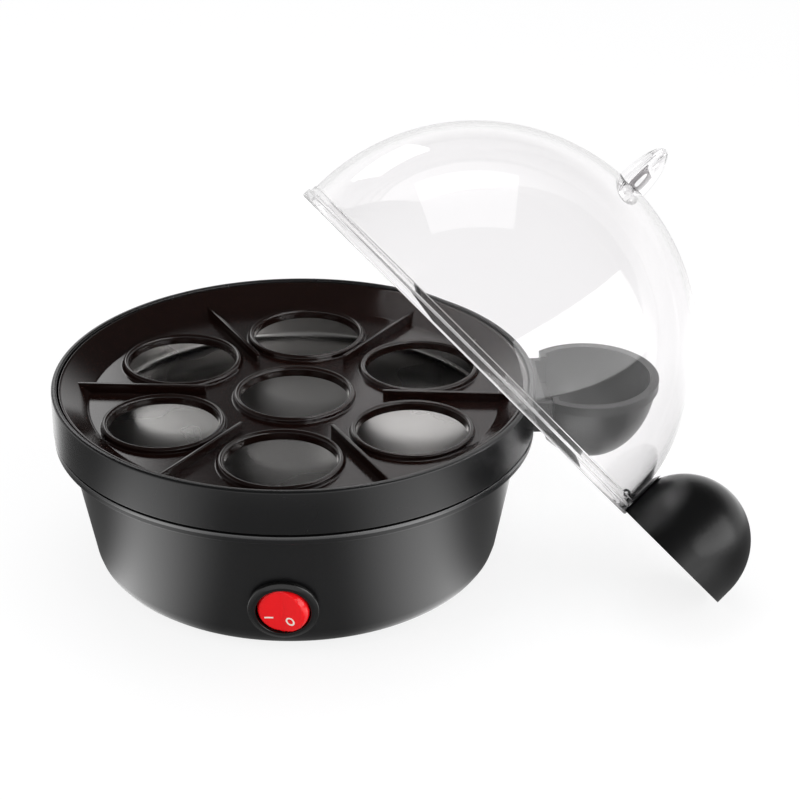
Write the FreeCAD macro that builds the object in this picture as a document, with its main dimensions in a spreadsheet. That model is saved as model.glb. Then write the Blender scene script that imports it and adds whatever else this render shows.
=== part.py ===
# Seven-seat electric steam boiler: base with a switch, lift-out tray and clear domed lid.
# Millimetres. Origin on the axis of the base at table level, +Z up, the switch faces -Y.
import FreeCAD, Part
import math
import os
import re

import Sketcher
from FreeCAD import Placement, Rotation, Vector

# Driving dimensions, one cell each
SIZES = [
    # the base and its rim
    ("base_height", 69.5), ("collar_depth", 15.8), ("rim_wall", 2),
    ("deck_inset", 9.8), ("deck_thickness", 2), ("deck_rise", 2.3), ("rim_rounding", 0.7),
    # the lower housing
    ("foot_height", 1.6), ("housing_foot_inset", 14.2), ("housing_shoulder_inset", 4.97),
    ("bottom_rounding", 10), ("housing_wall", 2.2), ("flange_gap", 0.8), ("flange_height", 2.9),
    ("flange_inset", 0.3), ("flange_rounding", 0.6), ("neck_inset", 1.5),
    ("boss_radius", 4), ("boss_height", 13), ("ledge_width", 7), ("ledge_thickness", 2.2),
    # the bottom cover with its feet and screws
    ("cover_inset", 12.1), ("cover_thickness", 2), ("fit_gap", 0.3), ("cover_screw_inset", 7.7),
    ("vent_count", 12), ("vent_width", 2.4), ("vent_length", 14), ("vent_circle", 28),
    ("foot_radius", 6), ("foot_ring_inset", 8.7), ("screw_shank_radius", 1.5), ("screw_head_radius", 2.9),
    ("screw_head_height", 1.1), ("bore_gap", 0.12), ("screw_length", 9),
    # the water pan, its seal and the heater under it
    ("pan_gap", 1.6), ("pan_depth", 9), ("pan_gauge", 0.8), ("pan_flange_width", 6.9),
    ("pan_rounding", 3), ("seal_thickness", 1), ("seal_lip", 1.4), ("seal_gap", 0.1),
    ("spreader_radius", 50), ("spreader_thickness", 3.6), ("element_circle", 38),
    ("element_radius", 3.3), ("element_opening_angle", 36), ("element_leg", 12), ("element_pin_radius", 1.5),
    ("thermostat_cap_radius", 8.2), ("thermostat_cap_height", 4), ("thermostat_radius", 7),
    ("thermostat_height", 7), ("tab_width", 6.3), ("tab_length", 7), ("tab_gauge", 0.8),
    ("bracket_length", 34), ("bracket_width", 19), ("bracket_screw_offset", 12.5),
    ("fuse_radius", 2.2), ("fuse_length", 15), ("fuse_offset", 22), ("clip_width", 8),
    ("clip_wall", 1.4), ("lead_radius", 1.1), ("lead_bend", 7),
    ("terminal_block_length", 30), ("terminal_block_width", 12), ("terminal_block_height", 11),
    ("terminal_block_offset", 20), ("terminal_screw_radius", 2), ("terminal_pitch", 9),
    # the switch in the front wall
    ("switch_height", 20.2), ("switch_turn_angle", 1.85), ("switch_tilt_angle", 10),
    ("switch_stand_off", 0.6), ("bezel_radius", 12),
    ("bezel_thickness", 2), ("bezel_rounding", 0.9), ("barrel_radius", 10.2), ("barrel_depth", 14),
    ("barrel_wall", 1), ("pad_inset", 0.8), ("pad_depth", 6), ("rocker_radius", 8.6),
    ("rocker_rise", 3.2), ("rocker_skirt", 3.6), ("rocker_end_slope_angle", 8),
    ("rocker_tilt_angle", 12), ("pivot_depth", 0.2),
    ("pivot_radius", 1.1), ("pivot_gap", 0.05), ("pivot_length", 0.6), ("nose_width", 3), ("nose_gap", 0.4),
    ("terminal_length", 8), ("blade_length", 11), ("blade_width", 4), ("blade_gauge", 0.6), ("blade_stand_off", 1.8),
    # the cord inlet in the back wall
    ("gland_height", 15.6), ("gland_bore_radius", 3.3), ("gland_neck_radius", 5),
    ("gland_flange_radius", 7.4), ("gland_flange_thickness", 1.8), ("gland_length", 13),
    ("clamp_length", 22), ("clamp_width", 8), ("clamp_thickness", 2.4), ("clamp_clearance", 6.7),
    ("clamp_post_radius", 3.2), ("clamp_post_height", 8), ("clamp_screw_spread", 8),
    # the tray
    ("tray_gap", 0.4), ("tray_gauge", 1.6), ("tray_edge_drop", 0.6), ("tray_edge_width", 0.9), ("tray_floor_drop", 7.9),
    ("tray_border_width", 10.1), ("seat_margin", 3.6), ("seat_web", 11.2), ("seat_radius", 18.9), ("bead_radius", 1.3),
    ("rib_top_drop", 4.1), ("rib_thickness", 1.8), ("rib_clearance", 9.5), ("rib_reach", 5),
    # the half-ball handle on the base
    ("handle_turn_angle", 7.5), ("handle_overhang", 19.4), ("handle_radial", 24), ("handle_lateral", 25.2),
    ("handle_depth", 29.5), ("handle_drop", 3.5), ("handle_wall", 2.2), ("handle_gap", 4.5),
    ("handle_band_height", 3.2), ("handle_band_rise", 0.9),
    ("handle_neck_width", 36), ("handle_neck_drop", 1.4), ("handle_screw_spread", 8),
    # the lid
    ("lid_inset", 5.3), ("skirt_height", 3.2), ("skirt_wall", 2.2), ("step_height", 2.2),
    ("step_inset", 0.9), ("dome_inset", 1.3), ("dome_wall", 1.8), ("knob_length", 38), ("knob_width", 10.6),
    ("knob_height", 17), ("knob_sink", 2), ("knob_peg_radius", 3.2), ("knob_peg_spread", 9), ("knob_peg_reach", 0.6),
    ("vent_slot_length", 3.6), ("vent_slot_width", 2.4), ("vent_slot_offset", 3.8), ("vent_rise", 5.8),
    ("vent_clearance", 0.6),
    # the half-ball handle on the lid
    ("lid_handle_overhang", 20.5), ("lid_handle_radial", 23.2), ("lid_handle_lateral", 25.2),
    ("lid_handle_rise", 24.3), ("lid_handle_edge", 1.1), ("lid_handle_straight", 5.8),
    ("lid_handle_lip", 0.7), ("lid_handle_lip_width", 1.6),
    ("hook_radius", 1.5), ("hook_bore_radius", 0.7), ("hook_length", 8), ("hook_thickness", 1.2),
    ("hook_gap", 0.2), ("hook_rise", 0.1),
    # how the lid lies when it is off: it leans on the rim and on the edge of its handle
    ("lean_turn_angle", 25.7), ("lean_tilt_angle", 49.7), ("lean_roll_angle", -40.6), ("lean_bite", 22.6), ("lean_gap", 0.6),
    ("floor_gap", 0.3),
]

# Sizes that follow from these, one cell each: the seats set the tray, and the tray sets all round it
FOLLOWING = [
    ("seat_pitch", "2 * seat_radius + seat_web"),
    ("tray_floor_radius", "seat_pitch + seat_radius + seat_margin"),
    ("base_radius", "tray_floor_radius + tray_border_width + tray_gap + rim_wall"),
    ("housing_foot_radius", "base_radius - housing_foot_inset"),
    ("housing_shoulder_radius", "base_radius - housing_shoulder_inset"),
    ("cover_radius", "housing_foot_radius - cover_inset"),
    ("cover_screw_circle", "cover_radius - cover_screw_inset"),
    ("foot_circle", "cover_radius - foot_ring_inset"),
    ("clamp_distance", "cover_radius - ledge_width - clamp_clearance"),
    ("pan_radius", "base_radius - deck_inset - pan_gap"),
    ("pan_floor_height", "base_height - collar_depth + deck_rise + deck_thickness + seal_thickness - pan_depth"),
    ("blade_depth", "barrel_depth - barrel_wall - blade_stand_off"),
    ("rib_inner_radius", "seat_radius + 2 * bead_radius + rib_clearance"),
    ("rib_outer_radius", "tray_floor_radius + rib_reach"),
    ("handle_reach", "base_radius + handle_overhang"),
    ("handle_mouth", "base_radius + handle_gap"),
    ("lid_radius", "base_radius - lid_inset"),
    ("lid_handle_reach", "lid_radius + lid_handle_overhang"),
]

# The seats lie six round one, and the ribs run between the outer ones
OUTER_SEATS = 6
FULL_TURN = 360
COVER_SCREWS = 4
FEET = 4

doc = FreeCAD.newDocument("EggBoiler")
sheet = doc.addObject("Spreadsheet::Sheet", "Sizes")
CELLS = [(alias, str(value)) for alias, value in SIZES] + [(alias, "=" + words) for alias, words in FOLLOWING]
for row, (alias, content) in enumerate(CELLS, start=1):
    sheet.set("A%d" % row, alias)
    sheet.set("B%d" % row, content)
    sheet.setAlias("B%d" % row, alias)
doc.recompute()
ALIASES = {alias for alias, content in CELLS}


def link(words):
    """Turn sizes named in words into references to the sheet's cells."""
    return re.sub(r"[a-z][a-z_]+", lambda m: "Sizes." + m.group() if m.group() in ALIASES else m.group(), words)


def size(words):
    """The value of a sum of named sizes."""
    return float(sheet.evalExpression(link(words)))


# Heights and radii that several pieces share, as sums of the driving dimensions
COLLAR_BOTTOM = "(base_height - collar_depth)"
DECK_BOTTOM = "(%s + deck_rise)" % COLLAR_BOTTOM
DECK_TOP = "(%s + deck_thickness)" % DECK_BOTTOM
DECK_RADIUS = "(base_radius - deck_inset)"
RIM_INSIDE = "(base_radius - rim_wall)"
FLANGE_TOP = "(%s - flange_gap)" % COLLAR_BOTTOM
SHOULDER = "(%s - flange_height)" % FLANGE_TOP
FLANGE_RADIUS = "(base_radius - flange_inset)"
NECK_RADIUS = "(housing_shoulder_radius - neck_inset)"
COVER_TOP = "(foot_height + cover_thickness)"
LEDGE_BOTTOM = "(%s + fit_gap)" % COVER_TOP
LEDGE_TOP = "(%s + ledge_thickness)" % LEDGE_BOTTOM
PAN_FLANGE = "(%s + seal_thickness)" % DECK_TOP
PAN_TOP = "(%s + pan_gauge)" % PAN_FLANGE
SPREADER_BOTTOM = "(pan_floor_height - spreader_thickness)"
TRAY_FLOOR = "(base_height - tray_floor_drop)"
TRAY_RADIUS = "(%s - tray_gap)" % RIM_INSIDE
TRAY_TOP = "(base_height - tray_edge_drop)"
RIB_TOP = "(base_height - rib_top_drop)"
HANDLE_TOP = "(base_height - handle_drop)"
SKIRT_INSIDE = "(lid_radius - skirt_wall)"
BAND_TOP = "(skirt_height + step_height)"
DOME_RADIUS = "(lid_radius - dome_inset)"


def bind(thing, **properties):
    for name, words in properties.items():
        thing.setExpression(name, link(words))


def put(thing, x="0", y="0", z="0"):
    """Tie the place of a primitive to the sheet."""
    for axis, words in (("x", x), ("y", y), ("z", z)):
        thing.setExpression("Placement.Base." + axis, link(words))
    return thing


def cylinder(name, radius, height, **place):
    thing = doc.addObject("Part::Cylinder", name)
    bind(thing, Radius=radius, Height=height)
    return put(thing, **place)


def box(name, length, width, height, **place):
    """A block that is centred on its place in X and Y and stands on it in Z."""
    thing = doc.addObject("Part::Box", name)
    bind(thing, Length=length, Width=width, Height=height)
    x, y, z = (place.get(axis, "0") for axis in "xyz")
    return put(thing, x="%s - (%s) / 2" % (x, length), y="%s - (%s) / 2" % (y, width), z=z)


def ellipsoid(name, along_z, along_x, along_y, low, high, **place):
    """Part of an ellipsoid between two latitudes."""
    thing = doc.addObject("Part::Ellipsoid", name)
    bind(thing, Radius1=along_z, Radius2=along_x, Radius3=along_y)
    thing.Angle1 = low
    thing.Angle2 = high
    return put(thing, **place)


def at(frame, thing):
    """Set a piece that is drawn about the origin on a frame, inside a holder if its place is tied to the sheet."""
    if any(path.startswith("Placement") or path.startswith(".Placement") for path, words in thing.ExpressionEngine):
        held = thing
        thing = doc.addObject("Part::Compound", held.Name + "_held")
        thing.Links = [held]
    thing.Placement = frame.multiply(thing.Placement)
    return thing


def turned(thing, angle):
    """Turn a piece about the base's axis."""
    return at(Placement(Vector(), Rotation(Vector(0, 0, 1), angle)), thing)


def fuse(name, things):
    thing = doc.addObject("Part::MultiFuse", name)
    thing.Shapes = things
    return thing


def common(name, things):
    thing = doc.addObject("Part::MultiCommon", name)
    thing.Shapes = things
    return thing


def cut(name, base, tools):
    thing = doc.addObject("Part::Cut", name)
    thing.Base = base
    thing.Tool = tools[0] if len(tools) == 1 else fuse(name + "_tools", tools)
    return thing


def group(name, things):
    """Like pieces kept together as separate solids."""
    thing = doc.addObject("Part::Compound", name)
    thing.Links = things
    return thing


def outline(body, name, plane, corners):
    """A closed sketch through corners, each dimensioned from the origin by sums of named sizes."""
    sketch = body.newObject("Sketcher::SketchObject", name)
    face = [feature for feature in body.Origin.OriginFeatures if feature.Role == plane][0]
    sketch.AttachmentSupport = [(face, "")]
    sketch.MapMode = "FlatFace"
    places = [Vector(size(across), size(up), 0) for across, up in corners]
    count = len(corners)
    for index in range(count):
        sketch.addGeometry(Part.LineSegment(places[index], places[(index + 1) % count]))
    for index in range(count):
        sketch.addConstraint(Sketcher.Constraint("Coincident", index, 2, (index + 1) % count, 1))
    for index, words in enumerate(corners):
        for kind, axis, text, value in (("DistanceX", -2, words[0], places[index].x),
                                        ("DistanceY", -1, words[1], places[index].y)):
            if text == "0":
                sketch.addConstraint(Sketcher.Constraint("PointOnObject", index, 1, axis))
            elif value > 0:
                place = sketch.addConstraint(Sketcher.Constraint(kind, -1, 1, index, 1, value))
                sketch.setExpression("Constraints[%d]" % place, link(text))
            else:
                place = sketch.addConstraint(Sketcher.Constraint(kind, index, 1, -1, 1, -value))
                sketch.setExpression("Constraints[%d]" % place, link("-(%s)" % text))
    return sketch


def revolved(name, corners):
    """A body turned about Z from an outline in the XZ plane."""
    body = doc.addObject("PartDesign::Body", name)
    sketch = outline(body, name + "_profile", "XZ_Plane", corners)
    turn = body.newObject("PartDesign::Revolution", name + "_turn")
    turn.Profile = sketch
    turn.ReferenceAxis = (sketch, ["V_Axis"])
    turn.Angle = FULL_TURN
    doc.recompute()
    return body


def ring_edges(form, radius, height):
    """Names of a form's circular edges at a radius and height given as sums of named sizes."""
    names = []
    for index, edge in enumerate(form.Shape.Edges, start=1):
        curve = edge.Curve
        if curve.TypeId == "Part::GeomCircle" and abs(curve.Radius - size(radius)) < size("fit_gap") / 10:
            if abs(curve.Center.z - size(height)) < size("fit_gap") / 10:
                names.append("Edge%d" % index)
    return names


def rounded(body, rounding, places):
    """Round the circular edges of a body at the given radii and heights."""
    form = body.Tip
    names = [name for radius, height in places for name in ring_edges(form, radius, height)]
    fillet = body.newObject("PartDesign::Fillet", "%s_rounding_%d" % (body.Name, len(body.Group)))
    fillet.Base = (form, names)
    bind(fillet, Radius=rounding)
    doc.recompute()
    return body


SUBPARTS = {}


def subpart(name, thing):
    """Keep a finished piece under the name of its file."""
    thing.Label = name
    SUBPARTS[name] = thing
    return thing


def around(make, count, first=0):
    """Copies made by a function of the angle, evenly spaced round the axis."""
    return [make(index, first + index * FULL_TURN / count) for index in range(count)]


def polar(radius, angle):
    """X and Y of a point on a circle, as expressions."""
    return {"x": "%s * cos(%.6f deg)" % (radius, angle), "y": "%s * sin(%.6f deg)" % (radius, angle)}


# The switch and the cord inlet sit square on the sloping wall, each on a frame of its own:
# Z points out of the wall and Y up it.
def wall_radius(height):
    """Outside radius of the housing's sloping wall at a height."""
    rise = size(SHOULDER) - size("foot_height")
    slope = (size("housing_shoulder_radius") - size("housing_foot_radius")) / rise
    return size("housing_foot_radius") + slope * (height - size("foot_height"))


def wall_frame(height, turn):
    """Frame on the wall at a height, turned about the base's axis from the front."""
    reach = wall_radius(height) + size("switch_stand_off")
    front = Placement(Vector(0, -reach, height), Rotation(Vector(1, 0, 0), FULL_TURN / 4 + size("switch_tilt_angle")))
    return Placement(Vector(), Rotation(Vector(0, 0, 1), turn)).multiply(front)


SWITCH_FRAME = wall_frame(size("switch_height"), size("switch_turn_angle"))
GLAND_FRAME = wall_frame(size("gland_height"), FULL_TURN / 2)


def make_lower_housing():
    shell = revolved("housing_shell", [
        ("cover_radius + fit_gap", "foot_height"),
        ("housing_foot_radius", "foot_height"),
        ("housing_shoulder_radius", SHOULDER),
        (FLANGE_RADIUS, SHOULDER),
        (FLANGE_RADIUS, FLANGE_TOP),
        (NECK_RADIUS, FLANGE_TOP),
        (NECK_RADIUS, DECK_BOTTOM),
        (NECK_RADIUS + " - housing_wall", DECK_BOTTOM),
        (NECK_RADIUS + " - housing_wall", SHOULDER),
        ("housing_foot_radius - housing_wall", LEDGE_TOP),
        ("cover_radius - ledge_width", LEDGE_TOP),
        ("cover_radius - ledge_width", LEDGE_BOTTOM),
        ("cover_radius + fit_gap", LEDGE_BOTTOM),
    ])
    rounded(shell, "bottom_rounding", [("housing_foot_radius", "foot_height")])
    rounded(shell, "flange_rounding", [(FLANGE_RADIUS, SHOULDER), (FLANGE_RADIUS, FLANGE_TOP)])
    pads = []
    holes = []
    for name, frame, outside, bore in (
            ("switch", SWITCH_FRAME, "bezel_radius - pad_inset", "barrel_radius + bore_gap"),
            ("gland", GLAND_FRAME, "gland_flange_radius - pad_inset", "gland_neck_radius + bore_gap")):
        pads.append(at(frame, cylinder(name + "_pad", outside, "pad_depth", z="-pad_depth")))
        holes.append(at(frame, cylinder(name + "_hole", bore, "4 * pad_depth", z="-2 * pad_depth")))
    bosses = around(lambda index, angle: cylinder("boss_%d" % index, "boss_radius", "boss_height",
                                                  z=LEDGE_BOTTOM, **polar("cover_screw_circle", angle)),
                    COVER_SCREWS, 45)
    bores = around(lambda index, angle: cylinder("boss_bore_%d" % index, "screw_shank_radius + bore_gap",
                                                 "screw_length + fit_gap", z=LEDGE_BOTTOM + " - fit_gap",
                                                 **polar("cover_screw_circle", angle)),
                   COVER_SCREWS, 45)
    whole = fuse("housing_solid", [shell] + pads + bosses)
    return cut("lower_housing", whole, holes + bores)


def make_rim_collar():
    ring = revolved("collar_ring", [
        (RIM_INSIDE, COLLAR_BOTTOM),
        ("base_radius", COLLAR_BOTTOM),
        ("base_radius", "base_height"),
        (RIM_INSIDE, "base_height"),
        (RIM_INSIDE, DECK_TOP),
        (DECK_RADIUS, DECK_TOP),
        (DECK_RADIUS, DECK_BOTTOM),
        (RIM_INSIDE, DECK_BOTTOM),
    ])
    rounded(ring, "rim_rounding", [("base_radius", "base_height"), (RIM_INSIDE, "base_height"),
                                   ("base_radius", COLLAR_BOTTOM)])
    return cut("rim_collar", ring, [turned(thing, size("handle_turn_angle")) for thing in handle_screw_tools("collar")])


def handle_screw_places():
    return ("-handle_screw_spread", "handle_screw_spread")


HANDLE_SCREW_HEIGHT = "(%s - handle_neck_drop - screw_head_radius)" % HANDLE_TOP


def along_x(name, radius, length, x, y, z):
    """A cylinder that lies along +X from a place."""
    thing = doc.addObject("Part::Cylinder", name)
    bind(thing, Radius=radius, Height=length)
    thing.Placement = Placement(Vector(), Rotation(Vector(0, 1, 0), 90))
    return put(thing, x=x, y=y, z=z)


def handle_screw_tools(name):
    """Countersunk ways for the two screws that hold the handle on the rim."""
    tools = []
    for index, spread in enumerate(handle_screw_places()):
        tools.append(along_x("%s_way_%d" % (name, index), "screw_shank_radius + bore_gap", "rim_wall + 2 * housing_wall",
                             RIM_INSIDE + " - housing_wall / 2", spread, HANDLE_SCREW_HEIGHT))
        tools.append(along_x("%s_sink_%d" % (name, index), "screw_head_radius + bore_gap",
                             "screw_head_height + housing_wall + fit_gap",
                             RIM_INSIDE + " - housing_wall", spread, HANDLE_SCREW_HEIGHT))
    return tools


def make_base_handle():
    """A half ball, open on top, with a short neck up to the rim."""
    outer = ellipsoid("handle_ball", "handle_depth", "handle_radial", "handle_lateral", -90, 0,
                      x="handle_reach", z=HANDLE_TOP)
    inner = ellipsoid("handle_hollow", "handle_depth - handle_wall", "handle_radial - handle_wall",
                      "handle_lateral - handle_wall", -90, 0, x="handle_reach", z=HANDLE_TOP)
    keep = box("handle_keep", "3 * handle_radial", "3 * handle_lateral", "2 * handle_depth",
               x="handle_mouth + 1.5 * handle_radial", z=HANDLE_TOP + " - 2 * handle_depth")
    keep_inner = box("handle_keep_inner", "3 * handle_radial", "3 * handle_lateral", "2 * handle_depth",
                     x="handle_mouth + handle_wall + 1.5 * handle_radial", z=HANDLE_TOP + " - 2 * handle_depth")
    neck_length = "(handle_mouth - base_radius + 2 * handle_wall)"
    neck_height = "(%s - handle_neck_drop - %s)" % (HANDLE_TOP, COLLAR_BOTTOM)
    neck = box("handle_neck", neck_length + " + base_radius / 4", "handle_neck_width", neck_height,
               x="base_radius - base_radius / 8 + %s / 2" % neck_length, z=COLLAR_BOTTOM)
    channel = box("handle_channel", "%s + handle_wall" % neck_length, "handle_neck_width - 2 * handle_wall", neck_height,
                  x="base_radius + handle_wall + (%s + handle_wall) / 2" % neck_length,
                  z=COLLAR_BOTTOM + " + handle_wall")
    grown = ellipsoid("handle_grown", "10 * handle_depth", "handle_radial + handle_band_rise",
                      "handle_lateral + handle_band_rise", -90, 0, x="handle_reach", z=HANDLE_TOP)
    keep_band = box("handle_keep_band", "3 * handle_radial", "3 * handle_lateral", "handle_band_height",
                    x="handle_mouth + 1.5 * handle_radial", z=HANDLE_TOP + " - handle_band_height")
    ball = fuse("handle_ball_banded", [common("handle_ball_trimmed", [outer, keep]),
                                       common("handle_band", [grown, keep_band])])
    hollow = common("handle_hollow_trimmed", [inner, keep_inner])
    solid = fuse("handle_solid", [ball, neck])
    rim = cylinder("handle_rim_tool", "base_radius", "2 * base_height")
    ways = handle_screw_tools("handle")
    handle = cut("base_handle", solid, [hollow, channel, rim] + ways)
    return turned(handle, size("handle_turn_angle"))


def make_base_handle_screws():
    screws = []
    for index, spread in enumerate(handle_screw_places()):
        head = along_x("handle_screw_head_%d" % index, "screw_head_radius", "screw_head_height",
                       RIM_INSIDE + " + fit_gap / 2", spread, HANDLE_SCREW_HEIGHT)
        shank = along_x("handle_screw_shank_%d" % index, "screw_shank_radius", "rim_wall + housing_wall - fit_gap",
                        RIM_INSIDE + " + fit_gap / 2", spread, HANDLE_SCREW_HEIGHT)
        screws.append(fuse("handle_screw_%d" % index, [head, shank]))
    return turned(group("base_handle_screws", screws), size("handle_turn_angle"))


def make_bottom_cover():
    disc = cylinder("cover_disc", "cover_radius", "cover_thickness", z="foot_height")
    posts = [cylinder("clamp_post_%d" % index, "clamp_post_radius", "clamp_post_height", x=side,
                      y="clamp_distance", z=COVER_TOP)
             for index, side in enumerate(("-clamp_screw_spread", "clamp_screw_spread"))]
    post_bores = [cylinder("clamp_bore_%d" % index, "screw_shank_radius + bore_gap", "clamp_post_height", x=side,
                           y="clamp_distance", z=COVER_TOP + " + fit_gap")
                  for index, side in enumerate(("-clamp_screw_spread", "clamp_screw_spread"))]
    holes = around(lambda index, angle: cylinder("cover_hole_%d" % index, "screw_shank_radius + bore_gap",
                                                 "4 * cover_thickness", **polar("cover_screw_circle", angle)),
                   COVER_SCREWS, 45)
    sinks = around(lambda index, angle: cylinder("cover_sink_%d" % index, "screw_head_radius + bore_gap",
                                                 "foot_height + screw_head_height",
                                                 **polar("cover_screw_circle", angle)),
                   COVER_SCREWS, 45)
    vents = []
    count = int(size("vent_count"))
    for index in range(count):
        slot = box("vent_%d" % index, "vent_length", "vent_width", "4 * cover_thickness", x="vent_circle")
        vents.append(turned(slot, index * FULL_TURN / count + FULL_TURN / count / 2))
    return cut("bottom_cover", fuse("cover_solid", [disc] + posts), holes + sinks + vents + post_bores)


def make_bottom_screws():
    def screw(index, angle):
        place = polar("cover_screw_circle", angle)
        head = cylinder("bottom_screw_head_%d" % index, "screw_head_radius", "screw_head_height",
                        z="foot_height", **place)
        shank = cylinder("bottom_screw_shank_%d" % index, "screw_shank_radius", "screw_length", z="foot_height", **place)
        return fuse("bottom_screw_%d" % index, [head, shank])
    return group("bottom_screws", around(screw, COVER_SCREWS, 45))


def make_rubber_feet():
    """Feet in a circle and one under the middle."""
    feet = around(lambda index, angle: cylinder("foot_%d" % index, "foot_radius", "foot_height",
                                                **polar("foot_circle", angle)), FEET)
    return group("rubber_feet", feet + [cylinder("foot_middle", "foot_radius", "foot_height")])


def make_water_pan():
    pan = revolved("water_pan", [
        ("0", "pan_floor_height"),
        ("pan_radius", "pan_floor_height"),
        ("pan_radius", PAN_FLANGE),
        ("pan_radius + pan_flange_width", PAN_FLANGE),
        ("pan_radius + pan_flange_width", PAN_TOP),
        ("pan_radius - pan_gauge", PAN_TOP),
        ("pan_radius - pan_gauge", "pan_floor_height + pan_gauge"),
        ("0", "pan_floor_height + pan_gauge"),
    ])
    rounded(pan, "pan_rounding", [("pan_radius", "pan_floor_height")])
    return rounded(pan, "pan_rounding - pan_gauge", [("pan_radius - pan_gauge", "pan_floor_height + pan_gauge")])


def make_pan_seal():
    return revolved("pan_seal", [
        ("pan_radius + seal_gap", DECK_TOP + " - seal_lip"),
        (DECK_RADIUS + " - seal_gap", DECK_TOP + " - seal_lip"),
        (DECK_RADIUS + " - seal_gap", DECK_TOP),
        ("pan_radius + pan_flange_width", DECK_TOP),
        ("pan_radius + pan_flange_width", PAN_FLANGE),
        ("pan_radius + seal_gap", PAN_FLANGE),
    ])


def make_heat_spreader():
    disc = cylinder("spreader_disc", "spreader_radius", "spreader_thickness", z=SPREADER_BOTTOM)
    holes = [cylinder("spreader_hole_%d" % index, "screw_shank_radius + bore_gap", "spreader_thickness / 2", x=side,
                      z=SPREADER_BOTTOM)
             for index, side in enumerate(("-bracket_screw_offset", "bracket_screw_offset"))]
    return cut("heat_spreader", disc, holes)


ELEMENT_HEIGHT = "(%s - element_radius)" % SPREADER_BOTTOM


def make_heating_element():
    """A ring-shaped tube with a gap at the back, where its two legs turn down."""
    loop = doc.addObject("Part::Torus", "element_loop")
    bind(loop, Radius1="element_circle", Radius2="element_radius", Angle3="360 - element_opening_angle")
    put(loop, z=ELEMENT_HEIGHT)
    half = size("element_opening_angle") / 2
    turned(loop, 90 + half)
    pieces = [loop]
    for index, side in enumerate((-1, 1)):
        place = polar("element_circle", 90 + side * half)
        pieces.append(cylinder("element_leg_%d" % index, "element_radius", "element_radius + element_leg",
                               z="%s - element_leg" % ELEMENT_HEIGHT + " - element_radius / 2", **place))
        pieces.append(cylinder("element_pin_%d" % index, "element_pin_radius", "2 * element_radius",
                               z="%s - element_leg - 2 * element_radius" % ELEMENT_HEIGHT, **place))
    return fuse("heating_element", pieces)


BRACKET_TOP = "(%s - thermostat_cap_height)" % SPREADER_BOTTOM


def make_thermostat():
    cap = cylinder("thermostat_cap", "thermostat_cap_radius", "thermostat_cap_height", z=BRACKET_TOP)
    body = cylinder("thermostat_body", "thermostat_radius", "thermostat_height", z=BRACKET_TOP + " - thermostat_height")
    tabs = [box("thermostat_tab_%d" % index, "tab_gauge", "tab_width", "tab_length", x=side,
                z=BRACKET_TOP + " - thermostat_height - tab_length")
            for index, side in enumerate(("-thermostat_radius / 2", "thermostat_radius / 2"))]
    return fuse("thermostat", [cap, body] + tabs)


def make_thermostat_bracket():
    strap = box("bracket_strap", "bracket_length", "bracket_width", "tab_gauge", z=BRACKET_TOP + " - tab_gauge")
    spacers = [cylinder("bracket_spacer_%d" % index, "screw_head_radius", "thermostat_cap_height - bore_gap",
                        x=side, z=BRACKET_TOP)
               for index, side in enumerate(("-bracket_screw_offset", "bracket_screw_offset"))]
    tools = [cylinder("bracket_bore", "thermostat_radius + bore_gap", "4 * tab_gauge", z=BRACKET_TOP + " - 2 * tab_gauge")]
    tools += [cylinder("bracket_hole_%d" % index, "screw_shank_radius + bore_gap", "2 * thermostat_cap_height", x=side,
                       z=BRACKET_TOP + " - thermostat_cap_height")
              for index, side in enumerate(("-bracket_screw_offset", "bracket_screw_offset"))]
    ring_cut = cylinder("bracket_cap_tool", "thermostat_cap_radius + bore_gap", "2 * thermostat_cap_height", z=BRACKET_TOP)
    return cut("thermostat_bracket", fuse("bracket_solid", [strap] + spacers), tools + [ring_cut])


def make_thermostat_screws():
    screws = []
    for index, side in enumerate(("-bracket_screw_offset", "bracket_screw_offset")):
        head = cylinder("thermostat_screw_head_%d" % index, "screw_head_radius", "screw_head_height", x=side,
                        z=BRACKET_TOP + " - tab_gauge - screw_head_height")
        shank = cylinder("thermostat_screw_shank_%d" % index, "screw_shank_radius",
                         "tab_gauge + screw_head_height + thermostat_cap_height + spreader_thickness / 2 - fit_gap",
                         x=side, z=BRACKET_TOP + " - tab_gauge - screw_head_height")
        screws.append(fuse("thermostat_screw_%d" % index, [head, shank]))
    return group("thermostat_screws", screws)


def make_thermal_fuse():
    return along_x("thermal_fuse", "fuse_radius", "fuse_length", "-fuse_length / 2", "-fuse_offset",
                   SPREADER_BOTTOM + " - fuse_radius")


def make_fuse_clip():
    block = box("clip_block", "clip_width", "2 * fuse_radius + 2 * clip_wall", "2 * fuse_radius + clip_wall",
                y="-fuse_offset", z=SPREADER_BOTTOM + " - 2 * fuse_radius - clip_wall")
    bore = along_x("clip_bore", "fuse_radius + bore_gap", "2 * clip_width", "-clip_width", "-fuse_offset",
                   SPREADER_BOTTOM + " - fuse_radius")
    slot = box("clip_slot", "2 * clip_width", "2 * fuse_radius + 2 * bore_gap", "2 * fuse_radius",
               y="-fuse_offset", z=SPREADER_BOTTOM + " - fuse_radius")
    return cut("fuse_clip", block, [bore, slot])


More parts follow.
